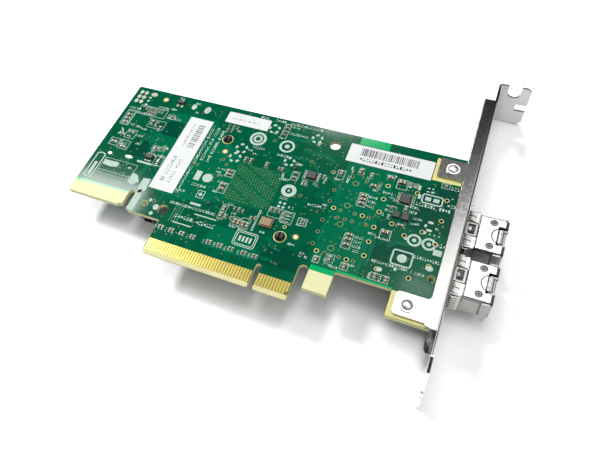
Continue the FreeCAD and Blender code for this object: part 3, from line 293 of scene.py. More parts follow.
# ------------------------------------------------------------------ thin printed and plated layers
class Deck:
    """Thin closed slabs on one face of the board (side +1: solder side, -1: component side)."""

    def __init__(self, name, mat, t0, t1, side=1, body="card", base=None):
        self.name, self.mat, self.side, self.body = name, mat, side, body
        b = (0.0 if side > 0 else -BT) if base is None else base
        self.z0, self.z1 = b + side * t0, b + side * t1
        self.v, self.f = [], []

    def loops(self, outer, inner=None):
        n, k = len(outer), len(self.v)
        zs = (self.z0, self.z1)
        if inner is None:
            for z in zs:
                self.v += [(x, y, z) for x, y in outer]
            bot, top = list(range(k, k + n)), list(range(k + n, k + 2 * n))
            fs = [bot[::-1], top]
            for i in range(n):
                j = (i + 1) % n
                fs.append([bot[i], bot[j], top[j], top[i]])
        else:
            for z in zs:
                self.v += [(x, y, z) for x, y in outer] + [(x, y, z) for x, y in inner]
            ob = list(range(k, k + n)); ib = list(range(k + n, k + 2 * n))
            ot = list(range(k + 2 * n, k + 3 * n)); it = list(range(k + 3 * n, k + 4 * n))
            fs = []
            for i in range(n):
                j = (i + 1) % n
                fs += [[ot[i], ot[j], it[j], it[i]], [ob[j], ob[i], ib[i], ib[j]],
                       [ob[i], ob[j], ot[j], ot[i]], [ib[j], ib[i], it[i], it[j]]]
        if self.side < 0:
            fs = [g[::-1] for g in fs]
        self.f += fs

    def poly(self, pts):
        a = sum(p[0] * q[1] - q[0] * p[1] for p, q in zip(pts, pts[1:] + pts[:1]))
        self.loops(list(pts) if a > 0 else list(pts)[::-1])

    def box(self, x0, y0, x1, y1):
        x0, x1 = min(x0, x1), max(x0, x1)
        y0, y1 = min(y0, y1), max(y0, y1)
        self.loops([(x0, y0), (x1, y0), (x1, y1), (x0, y1)])

    def rect(self, cx, cy, w, h, rot=0.0):
        c, s = math.cos(math.radians(rot)), math.sin(math.radians(rot))
        self.poly([(cx + c * u - s * v, cy + s * u + c * v) for u, v in
                   ((-w / 2, -h / 2), (w / 2, -h / 2), (w / 2, h / 2), (-w / 2, h / 2))])

    def disc(self, cx, cy, r, n=20, ry=None):
        ry = ry or r
        self.poly([(cx + r * math.cos(2 * math.pi * i / n), cy + ry * math.sin(2 * math.pi * i / n)) for i in range(n)])

    def ring(self, cx, cy, ri, ro, n=24):
        an = [2 * math.pi * i / n for i in range(n)]
        self.loops([(cx + ro * math.cos(a), cy + ro * math.sin(a)) for a in an],
                   [(cx + ri * math.cos(a), cy + ri * math.sin(a)) for a in an])

    def arc(self, cx, cy, r, w, a0, a1, n=14):
        an = [math.radians(a0 + (a1 - a0) * i / n) for i in range(n + 1)]
        self.poly([(cx + (r + w / 2) * math.cos(a), cy + (r + w / 2) * math.sin(a)) for a in an]
                  + [(cx + (r - w / 2) * math.cos(a), cy + (r - w / 2) * math.sin(a)) for a in reversed(an)])

    def line(self, pts, w):
        for (xa, ya), (xb, yb) in zip(pts, pts[1:]):
            L = math.hypot(xb - xa, yb - ya)
            if L < 1e-6:
                continue
            self.rect((xa + xb) / 2, (ya + yb) / 2, L + w * 0.8, w, math.degrees(math.atan2(yb - ya, xb - xa)))

    def frame(self, x0, y0, x1, y1, w, r=0.0):
        def rr(a, b, c, d, r):
            if r <= 0:
                return [(a, b), (c, b), (c, d), (a, d)]
            p = []
            for cx, cy, s in ((c - r, b + r, -90), (c - r, d - r, 0), (a + r, d - r, 90), (a + r, b + r, 180)):
                p += [(cx + r * math.cos(math.radians(s + t)), cy + r * math.sin(math.radians(s + t))) for t in (0, 30, 60, 90)]
            return p
        if r > 0:
            self.loops(rr(x0, y0, x1, y1, r), rr(x0 + w, y0 + w, x1 - w, y1 - w, max(r - w, 0.02)))
        else:
            self.loops(rr(x0, y0, x1, y1, 0), rr(x0 + w, y0 + w, x1 - w, y1 - w, 0))

    def marks(self, x, y, n, h, rot=0.0, w=None, gap=0.35, seed=0, thin=0.16, skip=0.08):
        """A row of n small plain strokes and blocks that stands for a line of print, from (x, y)."""
        rg = random.Random(seed * 977 + n * 13 + int(abs(x) * 31))
        w = w or h * 0.55
        c, s = math.cos(math.radians(rot)), math.sin(math.radians(rot))
        t = 0.0

        def put(u0, v0, u1, v1):
            self.poly([(x + c * u - s * v, y + s * u + c * v) for u, v in ((u0, v0), (u1, v0), (u1, v1), (u0, v1))])
        for _ in range(n):
            if rg.random() < skip:
                t += w + gap
                continue
            k = rg.randrange(4)
            th = max(thin, h * 0.22)
            if k == 0:
                put(t, 0, t + w, th); put(t, h - th, t + w, h)
            elif k == 1:
                put(t, 0, t + w, h)
            elif k == 2:
                put(t, h * 0.25, t + w, h * 0.75)
            else:
                put(t, 0, t + w, th * 1.6); put(t, h - th * 0.9, t + w * 0.7, h)
            t += w + gap

    def hexa(self, x0, x1, y0, y1, z0, z1):
        k = len(self.v)
        self.v += [(x0, y0, z0), (x1, y0, z0), (x1, y1, z0), (x0, y1, z0), (x0, y0, z1), (x1, y0, z1), (x1, y1, z1), (x0, y1, z1)]
        self.f += [[k + i for i in g] for g in ((0, 3, 2, 1), (4, 5, 6, 7), (0, 1, 5, 4), (1, 2, 6, 5), (2, 3, 7, 6), (3, 0, 4, 7))]

    def solid(self, verts, faces):
        k = len(self.v)
        self.v += verts
        self.f += [[k + i for i in g] for g in faces]

    def build(self):
        if not self.f:
            return None
        me = bpy.data.meshes.new(self.name)
        me.from_pydata([(x * MM, y * MM, z * MM) for x, y, z in self.v], [], self.f)
        me.validate()
        me.update()
        me.materials.append(self.mat)
        o = bpy.data.objects.new(self.name, me)
        scene.collection.objects.link(o)
        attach(o, self.body)
        return o


def decal(name, color, rough=0.5, metallic=0.0, grain=3.0, var=0.06, bump=0.1, spec=0.5):
    m = Mat(name, color, metallic, rough)
    m.b.inputs["Specular IOR Level"].default_value = spec
    n1 = m.noise(grain, 4, 0.6)
    n2 = m.noise(0.35, 3, 0.6)
    c0 = tuple(max(0, c * (1 - var)) for c in color)
    c1 = tuple(min(1, c * (1 + var)) for c in color)
    m.set(Base_Color=m.ramp(n2, [(0.3, c0), (0.7, c1)]), Roughness=m.rng(n1, rough * 0.85, rough * 1.2, 0.3, 0.7),
          Normal=m.bump(n1, bump, 0.00001))
    return m.m


M_SILK = decal("silkscreen_white", srgb(150, 168, 158), 0.6, spec=0.2)
M_FAINT = decal("silkscreen_thin", srgb(92, 140, 116), 0.6, spec=0.2)
M_BARE = decal("bare_laminate", srgb(186, 185, 142), 0.5, var=0.03, spec=0.35)
M_BARE2 = decal("bare_laminate_yellow", srgb(182, 176, 112), 0.5, var=0.03, spec=0.35)
M_BRIGHT = decal("mask_over_bare", srgb(0, 139, 80), 0.1, var=0.03, spec=0.2)
M_LIGHT = decal("mask_light", srgb(0, 84, 57), 0.09, var=0.06, spec=0.16)
M_DARK = decal("mask_dark", srgb(0, 58, 42), 0.09, var=0.06, spec=0.16)
M_BROWN = decal("mask_over_vias", srgb(10, 80, 50), 0.12, var=0.12, grain=1.2, spec=0.2)
M_TRACE = decal("mask_over_traces", srgb(2, 94, 68), 0.10, var=0.05, spec=0.28)
M_PAD = decal("tinned_pad", srgb(146, 148, 134), 0.42, 0.85, grain=6.0, var=0.12, bump=0.5)
M_RING = decal("plated_ring", srgb(160, 156, 104), 0.45, 0.5, var=0.15)
M_RINGD = decal("plated_ring_dull", srgb(84, 100, 62), 0.45, 0.4, var=0.12)
M_FIELD = decal("plated_ring_tented", srgb(66, 104, 62), 0.4, 0.2, var=0.15)
# painted shade: near black discs over via and pin holes, for the shade inside the open holes
M_VIA_HOLE_SHADE = decal("via_mouth", srgb(3, 14, 11), 0.9, var=0.2, spec=0.05)
M_COPPER = decal("bare_copper_gold", srgb(236, 196, 150), 0.35, 0.9)
M_BED = decal("contact_bed", srgb(104, 84, 34), 0.5, var=0.05, spec=0.3)
M_PRINT = decal("label_print", srgb(120, 122, 126), 0.7, spec=0.2)
M_PRINT2 = decal("label_print_dark", srgb(48, 48, 52), 0.7, spec=0.2)

# ---- solder side
zone_l = Deck("mask_light_areas", M_LIGHT, 0, 0.004)
zone_d = Deck("mask_dark_areas", M_DARK, 0, 0.005)
zone_b = Deck("mask_over_controller_vias", M_BROWN, 0, 0.006)
bright = Deck("mask_thin_over_laminate", M_BRIGHT, 0, 0.007)
bare = Deck("bare_laminate_areas", M_BARE, 0, 0.010)
bare2 = Deck("bare_laminate_margins", M_BARE2, 0, 0.011)
trace = Deck("traces_solder_side", M_TRACE, 0, 0.009)
via_r = Deck("via_rings_solder_side", M_RINGD, 0, 0.012)
# painted shade inside the via and pin holes, solder side
via_m = Deck("via_mouths_solder_side", M_VIA_HOLE_SHADE, 0, 0.014)
ring = Deck("plated_rings_solder_side", M_RING, 0, 0.030)
silk = Deck("silkscreen_solder_side", M_SILK, 0, 0.022)
silk2 = Deck("silkscreen_fine_solder_side", M_FAINT, 0, 0.020)
field = Deck("via_rings_under_controller", M_FIELD, 0, 0.012)
pad = Deck("pads_and_solder_solder_side", M_PAD, 0, 0.035)
fid = Deck("bare_targets", M_COPPER, 0, 0.020)

zone_l.poly([(14.4, 14.1), (30.2, 14.1), (30.2, 36), (31.5, 38), (31.5, 56.8), (14.4, 56.8)])
zone_l.poly([(-60.5, 45.5), (-50.5, 35.0), (-50.4, 24.5), (-39.0, 22.0), (-20.0, 27.0), (-22.5, 46.0), (-39.5, 60.5), (-50.2, 60.5), (-58.0, 60.0)])
zone_l.poly([(-21.0, 9.0), (-3.5, 9.0), (-3.5, 13.0), (-12.5, 17.5), (-20.5, 17.5)])
zone_d.poly([(-2.4, 9.2), (11.6, 9.2), (11.6, 13.6), (9.0, 16.5), (1.2, 16.2)])
zone_d.poly([(31.8, 22.0), (44.0, 22.0), (44.0, 29.5), (36.0, 29.5), (31.8, 26.0)])
zone_d.poly([(40.3, 36.8), (52.2, 36.8), (52.2, 56.0), (44.5, 56.0), (40.3, 53.0)])
zone_d.poly([(-60.0, 48.0), (-50.6, 48.0), (-50.6, 55.5), (-58.0, 55.5), (-60.0, 52.0)])
zone_d.poly([(-66.0, 35.6), (-58.5, 35.6), (-58.5, 41.5), (-62.0, 43.8), (-66.0, 43.8)])
zone_b.poly([(-22.0, 28.5), (-19.5, 26.9), (-7.0, 28.2), (-4.8, 31.5), (-5.0, 42.5), (-8.0, 44.8), (-19.8, 44.8), (-22.0, 42.0)])
bright.box(15.6, 65.35, 26.3, 68.85)
bright.box(15.3, 12.1, 23.3, 14.0)
bright.poly([(23.3, 13.95), (41.0, 13.95), (41.0, 14.5), (23.3, 14.7)])
bright.poly([(-78.4, 18.9), (-55.7, 19.3), (-55.7, 20.2), (-78.4, 20.0)])
# bare laminate
bare.poly([(-78.3, 14.1), (-57.3, 14.1), (-56.95, 14.7), (-55.65, 14.7), (-55.65, 19.3), (-60, 19.5), (-78.4, 18.9), (-78.4, 14.6)])
bare.box(15.35, 5.25, 23.25, 12.1)
bare2.box(-39.1, 1.32, -1.0, 1.36); bare2.box(1.0, 1.32, 12.1, 1.36)
bare2.poly([(42.8, 57.5), (52.3, 57.5), (52.3, 59.5), (44.2, 59.5), (44.2, 67.2), (42.8, 67.2)])
bare2.poly([(41.05, 5.3), (54.9, 5.3), (54.9, 6.8), (42.9, 6.8), (42.9, 13.8), (41.05, 13.8)])

# small parts: (x, y, long side along X, size)
CAPS_S = [(-37.85, 10.6, False, "0402"), (-36.75, 10.6, False, "0402"), (-33.75, 10.6, False, "0402"), (-32.65, 10.6, False, "0402"), (-29.75, 10.6,
          False, "0402"), (-28.65, 10.6, False, "0402"), (-25.65, 10.6, False, "0402"), (-24.55, 10.6, False, "0402"), (-19.55, 10.6, False, "0402"),
          (-18.45, 10.6, False, "0402"), (-15.55, 10.6, False, "0402"), (-14.45, 10.6, False, "0402"), (-11.55, 10.6, False, "0402"), (-10.45, 10.6,
          False, "0402"), (-6.95, 10.6, False, "0402"), (-5.85, 10.6, False, "0402"), (-3.05, 10.6, False, "0402"), (-1.95, 10.6, False, "0402"),
          (-21, 46.3, False, "0603"), (-18.9, 46.3, False, "0603"), (-12.75, 46.3, False, "0603"), (-8, 46.2, False, "0402"), (-6.8, 46.2, False,
          "0402"), (-1.35, 46, True, "0402"), (-1.35, 44.2, True, "0402"), (-18.9, 49.6, True, "0402"), (-24, 39.7, True, "0603"), (-24, 38.2, True,
          "0603"), (-27.1, 36.8, True, "0402"), (-24, 33.5, True, "0603"), (-24, 31.6, True, "0603"), (-11.9, 61.4, True, "0402"), (-11.9, 63.1, True,
          "0402"), (-11.9, 64.8, True, "0402"), (-11.9, 66.4, True, "0402"), (-16.2, 25.6, False, "0402"), (-14.6, 25.6, False, "0402"), (-13, 25.4,
          False, "0402"), (-19.6, 24.2, False, "0603"), (-19.6, 21.6, False, "0603"), (-17.9, 21.6, False, "0402"), (-15.9, 21.6, False, "0402"),
          (-14.1, 20.7, False, "0603"), (-12.7, 20.7, False, "0603"), (-10.9, 20.6, False, "0603"), (-9.4, 20.6, False, "0603"), (-9.4, 23.6, False,
          "0402"), (-8, 24.2, False, "0402"), (-2.7, 29.2, False, "0402"), (-1.2, 29.2, False, "0402"), (-4.2, 29.2, False, "0402"), (0.4, 28.4,
          False, "0402"), (0.4, 26.6, False, "0402"), (23.6, 44, True, "0603"), (23.6, 42.4, True, "0603"), (23.6, 40.8, True, "0603"), (23.6, 27.9,
          True, "0603"), (23.6, 26.2, True, "0603"), (23.6, 24.2, True, "0603"), (34.1, 53.1, True, "0805"), (33.9, 32.4, True, "0805"), (30, 53.8,
          True, "0603"), (13.5, 50.9, False, "0603"), (17, 52.4, False, "0402"), (19.4, 53.4, False, "0603"), (20.8, 52.6, False, "0402"), (23.6,
          52.9, False, "0603"), (25.4, 48.9, True, "0603"), (35, 16.4, False, "0603"), (38.4, 16.4, False, "0603"), (16.2, 16.2, False, "0603"),
          (20.2, 17.6, False, "0603"), (25.2, 16.6, False, "0603"), (37.6, 36.4, True, "0603"), (37.7, 43.2, False, "0603"), (47.8, 56.3, False,
          "0603"), (34, 42.6, True, "0402"), (33.8, 45.2, True, "0402"), (33.2, 38.6, False, "0402")]
RES_S = [(6.9, 47.6, False, "0402"), (8.3, 47.6, False, "0402"), (9.4, 46.8, False, "0402"), (2.6, 43.6, True, "0402"), (2.6, 42.7, True, "0402"),
          (7.6, 28.2, True, "0402"), (7.6, 27.1, True, "0402"), (36.9, 53.4, False, "0402"), (38, 53.4, False, "0402"), (39.1, 53.4, False, "0402"),
          (11.4, 16.6, True, "0402"), (27.2, 49, False, "0402"), (-33.4, 59.4, False, "0402"), (-31.6, 59.4, False, "0402"), (-29.9, 59.4, False,
          "0402"), (-33.4, 57.4, False, "0402"), (-31.6, 57.4, False, "0402"), (-66, 58.6, False, "0402"), (-67.2, 58.6, False, "0402"), (-68.4, 58.6,
          False, "0402"), (-69.6, 58.6, False, "0402"), (-64.8, 58.6, False, "0402"), (-63.6, 58.6, False, "0402"), (-62.4, 58.6, False, "0402"),
          (-66, 56.6, False, "0402"), (-67.2, 56.6, False, "0402"), (-68.4, 56.6, False, "0402"), (-64.8, 56.6, False, "0402"), (-63.8, 52.3, False,
          "0603"), (-61.6, 52, False, "0603"), (-59.4, 50.4, False, "0603"), (-57, 57, True, "0603"), (-57.3, 63.4, True, "0402"), (-74.4, 53.6, True,
          "0603"), (-74.4, 51.6, True, "0603"), (-74.4, 49.6, True, "0603"), (-69.4, 45.6, True, "0603"), (-72.8, 43.9, True, "0603"), (-69.4, 43.4,
          True, "0402"), (-70.6, 40.4, False, "0402"), (-73.6, 39.4, True, "0603"), (-69, 38, True, "0603"), (-52, 36.9, False, "0603"), (-52, 34.9,
          False, "0603"), (-55.6, 41.2, True, "0603"), (-52.4, 41.6, False, "0402"), (-56.2, 39.4, True, "0402")]
SIZES = {"0402": (1.0, 0.5), "0603": (1.6, 0.8), "0805": (2.0, 1.25), "1206": (3.2, 1.6)}


def solder_ends(dk, x, y, horiz, size, h, side=1):
    """Plated ends, pads and fillets of a two-ended chip part."""
    L, W = SIZES[size]
    e, g = 0.24 * L, 0.012
    base = 0.0 if side > 0 else -BT
    Z = lambda z: base + side * z
    for s in (-1, 1):
        a0, a1 = s * (L / 2 + g), s * (L / 2 - e)
        b = W / 2 + g
        # plated end, five faces and a base
        def P(u, v, z):
            return (x + u, y + v, Z(z)) if horiz else (x - v, y + u, Z(z))
        vs = [P(a0, -b, 0), P(a0, b, 0), P(a1, b, 0), P(a1, -b, 0), P(a0, -b, h + g), P(a0, b, h + g), P(a1, b, h + g), P(a1, -b, h + g)]
        fs = [(0, 1, 2, 3), (4, 7, 6, 5), (0, 4, 5, 1), (1, 5, 6, 2), (2, 6, 7, 3), (3, 7, 4, 0)]
        if s * side > 0:
            fs = [f[::-1] for f in fs]
        dk.solid(vs, fs)
        # pad with a fillet wedge
        p0 = s * (L / 2 + 0.34 * W + 0.12)
        c = W / 2 + 0.06
        vs = [P(p0, -c, 0), P(p0, c, 0), P(a1, c, 0), P(a1, -c, 0), P(p0, -c, 0.04), P(p0, c, 0.04), P(a1, c, 0.04), P(a1, -c, 0.04)]
        dk.solid(vs, fs)
        q0 = s * (L / 2 + 0.30 * W + 0.05)
        vs = [P(q0, -c * 0.9, 0.03), P(q0, c * 0.9, 0.03), P(a0, b * 0.98, 0.03), P(a0, -b * 0.98, 0.03), P(a0, b * 0.98, h * 0.6), P(a0, -b * 0.98, h * 0.6)]
        fs2 = [(0, 1, 2, 3), (0, 5, 4, 1), (2, 4, 5, 3), (1, 4, 2), (0, 3, 5)]
        if s * side > 0:
            fs2 = [f[::-1] for f in fs2]
        dk.solid(vs, fs2)


for x, y, hz, sz in CAPS_S:
    solder_ends(pad, x, y, hz, sz, {"0402": 0.5, "0603": 0.8, "0805": 1.0}[sz])
for x, y, hz, sz in RES_S:
    solder_ends(pad, x, y, hz, sz, {"0402": 0.35, "0603": 0.45}[sz])
# outlines round some of the parts
for i, (x, y, hz, sz) in enumerate(CAPS_S + RES_S):
    L, W = SIZES[sz]
    a, b = (L / 2 + 0.55, W / 2 + 0.32)
    if not hz:
        a, b = b, a
    if sz != "0402" or i % 2 == 0:
        if y > 13.2:
            silk2.frame(x - a, y - b, x + a, y + b, 0.11)

# plated rings of the cage pins and connector pegs
PY = {"upper": 43.45, "lower": 26.20}
pins = []
for yc in PY.values():
    pins += [(x, yc - 7.1) for x in (15.4, 25.2, 34.9, 44.6)] + [(x, yc + 7.1) for x in (29.9, 39.7, 49.3)]
    pins += [(29.9, yc + 1.4), (29.9, yc - 3.95), (49.3, yc - 1.25)]
for x, y in pins:
    ring.ring(x, y, 0.54, 0.82)
    via_m.disc(x, y, 0.54, 16)
via_r.ring(10.7, PY["upper"] + 7.1, 0.53, 0.9)
for yc in PY.values():
    for s in (-1, 1):
        via_r.ring(19.4, yc + s * 4.78, 0.81, 1.12)
for x, y in ((-31.3, 53.2), (2.5, 20.1)):
    ring.ring(x, y, 1.80, 2.18, 32)
for x, y in ((-47.7, 17.6), (51.0, 21.1)):
    via_r.ring(x, y, 0.86, 1.32)
for x, y in ((-44.9, 19.4), (-14.2, 57.9), (2.0, 52.7), (3.1, 37.6), (2.6, 24.1), (-37.2, 39.0), (13.35, 38.6), (13.4, 30.8), (13.4, 26.0),
             (13.4, 21.3), (13.3, 43.4)):
    ring.ring(x, y, 0.41, 0.66, 18) if (x, y) == (2.6, 24.1) else via_r.ring(x, y, 0.41, 0.70, 18)
    via_m.disc(x, y, 0.41, 14)
for x, y in ((22.7, 36.3), (17.8, 36.2), (27.3, 36.3), (17.8, 33.2), (20.3, 33.2), (22.7, 33.2), (27.4, 33.3), (22.7, 19.2), (18.0, 19.2),
             (27.3, 19.2), (17.5, 50.6), (22.7, 50.5), (27.3, 50.6), (-29.0, 44.0), (-26.9, 42.2)):
    via_r.ring(x, y, 0.32, 0.66, 18)
    via_m.disc(x, y, 0.32, 14)
for x, y, r in ((-64.2, 65.0, 0.85), (-29.9, 47.6, 0.72), (7.4, 21.7, 0.66)):
    fid.disc(x, y, r)
    via_r.ring(x, y, r + 0.02, r + 0.48)

# vias: a field under the controller, and scattered ones
for i in range(17):
    for j in range(17):
        x, y = -22.0 + i * 1.0, 28.9 + j * 1.0
        if (i * 7 + j * 3) % 11 in (0, 4) or y > 44.6:
            continue
        field.disc(x, y, 0.24, 8)
        via_m.disc(x, y, 0.09, 6)
KEEP = [(-50.2, 24, -39.8, 60), (-36.5, 60.8, -18.4, 67), (12.6, 56.5, 43, 65.3), (42.5, 57, 53, 69), (41, 5, 55, 14.2), (-79, 13, -55.6, 20.5),
        (-40, 0, 12.4, 6.6), (15, 5, 24, 14), (52.2, 5, 56, 70), (-22.5, 28, -4.5, 45), (-58, 12.6, -53, 22)]
BIG = [(-31.3, 53.2, 2.6), (2.5, 20.1, 2.6), (7.6, 62.2, 2.4), (-40.2, 17.2, 2.5)] + [(x, y, 1.4) for x, y in pins]


def free(x, y, m=0.4):
    if any(a - m < x < c + m and b - m < y < d + m for a, b, c, d in KEEP):
        return False
    if any(math.hypot(x - a, y - b) < r + m for a, b, r in BIG):
        return False
    return -77.8 < x < 52 and 7.0 < y < 68.2 and not (x < -53 and y < 21) and not (x < -39 and y < 13.8) and not (x > 11.5 and y < 14.6)


rv = random.Random(5)
n = 0
while n < 420:
    x, y = rv.uniform(-77, 52), rv.uniform(8, 68)
    if free(x, y, 0.2) and not any(abs(x - c[0]) < 1.3 and abs(y - c[1]) < 1.2 for c in CAPS_S + RES_S):
        via_r.disc(x, y, 0.27, 10)
        via_m.disc(x, y, 0.13, 6)
        n += 1

# traces: bundles with 45 degree bends
rt = random.Random(3)


def bundle(x, y, ang, segs, n, pitch=0.42, w=0.17):
    for k in range(n):
        px, py = x - math.sin(math.radians(ang)) * k * pitch, y + math.cos(math.radians(ang)) * k * pitch
        pts, a = [(px, py)], ang
        for L, turn in segs:
            px, py = px + L * math.cos(math.radians(a)), py + L * math.sin(math.radians(a))
            pts.append((px, py))
            a += turn
        if all(free(u, v, 0.0) for u, v in pts):
            trace.line(pts, w)


bundle(-66.0, 44.2, 0, [(5.0, -45), (4.5, -20), (3.5, 0)], 7)
bundle(-76.5, 48.0, 0, [(18.5, -45), (3.0, 0)], 3)
bundle(-59.5, 24.5, 45, [(7.0, 45), (5.0, 0)], 5)
bundle(-38.0, 46.0, 0, [(10.0, -30), (3.0, 0)], 4)
bundle(-39.0, 24.0, 0, [(11.0, 45), (3.5, 0)], 5)
bundle(-6.0, 52.5, 0, [(8.0, -45), (5.0, 0)], 3)
bundle(-2.5, 56.0, 0, [(9.0, -30), (4.0, 0)], 4)
bundle(14.6, 39.5, 90, [(9.0, -45), (2.5, 0)], 3)
bundle(14.8, 23.0, 90, [(7.0, -45), (2.0, 0)], 3)
bundle(31.6, 19.0, 90, [(10.5, 0)], 2, 0.7, 0.3)
bundle(29.6, 15.0, 90, [(4.4, 0)], 1, 0.7, 0.3)
bundle(32.0, 41.0, 90, [(8.0, 0)], 1)
for k in range(60):
    x, y = rt.uniform(-76, 50), rt.uniform(10, 67)
    a = rt.choice((0, 90, 45, -45, 180, 270))
    bundle(x, y, a, [(rt.uniform(1.5, 5.5), rt.choice((45, -45))), (rt.uniform(1.0, 3.5), rt.choice((45, -45, 0))), (rt.uniform(1, 3), 0)],
           rt.randint(1, 4))
# fine diagonal traces over the controller field
fine = Deck("traces_over_controller", M_TRACE, 0, 0.010)
for k in range(26):
    x, y = rt.uniform(-21, -8), rt.uniform(30, 43)
    L = rt.uniform(1.2, 4.5)
    fine.line([(x, y), (x + L * 0.57, y - L * 0.82)], 0.14)
# pairs that run down to the edge contacts
for gx in (-37.3, -33.2, -29.2, -25.1, -19.0, -15.0, -11.0, -6.4, -2.5):
    for s in (-0.55, 0.55):
        trace.line([(gx + s, 11.4), (gx + s, 13.4), (gx + s * 0.6, 14.6), (gx + s * 0.6, 16.4)], 0.2)
        trace.line([(gx + s, 9.8), (gx + s, 7.6), (gx + s * 0.9, 5.9)], 0.2)
    silk2.frame(gx - 1.05, 9.75, gx + 1.05, 11.45, 0.12)
    silk2.marks(gx - 1.55, 9.4, 3, 0.8, 90, 0.45, 0.2, int(gx * 3), 0.12)
for k in range(4):
    silk2.box(-36.2 + k * 0.95, 13.6, -36.05 + k * 0.95, 20.8)

# ---- silkscreen: dashed target rings, printed circles, frames and blocks (all generic)
for x, y, r in ((-16.4, 63.2, 1.85), (-24.6, 50.8, 1.95), (-25.3, 46.2, 1.95), (-5.6, 50.2, 1.7), (0.4, 63.2, 1.75)):
    for k in range(5):
        silk.arc(x, y, r, 0.85, 72 * k + 12, 72 * k + 50, 6)
silk.ring(-20.5, 56.9, 2.25, 3.2, 40)
silk.ring(-20.5, 56.9, 0.95, 1.75, 28)
silk.ring(-8.9, 56.6, 2.05, 2.85, 40)
silk.disc(-8.9, 56.6, 0.9)
silk.ring(-1.3, 38.3, 1.25, 2.65, 40)
silk.disc(-1.3, 38.3, 0.45)
silk.frame(-11.9, 12.5, -4.0, 18.4, 0.28, 1.0)
silk.frame(-11.3, 13.1, -4.6, 17.8, 0.28, 0.8)
for k in range(4):
    silk.box(-10.2 + k * 1.25, 14.4, -9.5 + k * 1.25, 16.5)
silk.box(-35.9, 32.4, -33.7, 36.6)
silk.disc(-30.9, 34.5, 1.9, 32)
silk.marks(-35.4, 30.0, 8, 1.0, 0, 0.5, 0.22, 6, 0.15)
silk.frame(-31.6, 25.6, -28.8, 28.8, 0.24)
silk.disc(-30.2, 27.2, 0.7)
silk.box(-32.1, 22.4, -28.0, 23.3)
silk.marks(-39.2, 20.6, 24, 0.95, 0, 0.5, 0.24, 8, 0.15, 0.05)
silk.line([(-34.5, 13.9), (-27.5, 13.9)], 0.42)
silk.line([(-28.4, 19.1), (-20.4, 19.1)], 0.42)
silk.marks(-34.8, 15.8, 6, 1.3, 0, 0.75, 0.42, 9, 0.2, 0)
silk.marks(-26.4, 15.6, 7, 1.3, 0, 0.7, 0.25, 10, 0.2, 0)
silk.marks(-24.2, 66.9, 30, 1.1, 0, 0.55, 0.30, 12, 0.16, 0.15)
silk.marks(-10.4, 65.6, 5, 0.8, 0, 0.4, 0.25, 13, 0.13)
silk.marks(-10.2, 62.3, 10, 1.0, 0, 0.5, 0.24, 14, 0.17)
silk.marks(2.0, 60.0, 3, 1.1, 70, 0.5, 0.2, 15, 0.16)
silk.marks(-20.8, 52.4, 6, 0.95, 0, 0.5, 0.30, 16, 0.17)
silk.marks(-11.0, 51.6, 8, 1.0, 0, 0.5, 0.22, 17, 0.17)
silk.marks(-3.2, 49.6, 4, 1.0, 0, 0.5, 0.22, 18, 0.17)
silk.marks(-3.2, 34.3, 5, 0.85, 0, 0.45, 0.15, 19, 0.15)
silk.marks(1.0, 31.4, 3, 0.9, 0, 0.45, 0.2, 20, 0.15)
silk.marks(-6.2, 41.6, 6, 0.9, 10, 0.45, 0.2, 21, 0.15)
silk.marks(-5.0, 42.6, 4, 0.8, 100, 0.4, 0.2, 22, 0.14)
# upright print left of the controller
silk.marks(-38.4, 25.2, 42, 1.0, 90, 0.5, 0.25, 23, 0.16, 0.12)
silk.marks(-36.3, 41.2, 21, 1.0, 90, 0.5, 0.28, 24, 0.16, 0.10)
silk.marks(-33.9, 41.2, 20, 1.1, 90, 0.5, 0.28, 25, 0.16, 0.10)
silk.marks(-40.0, 26.2, 5, 0.9, 0, 0.5, 0.3, 26, 0.15)
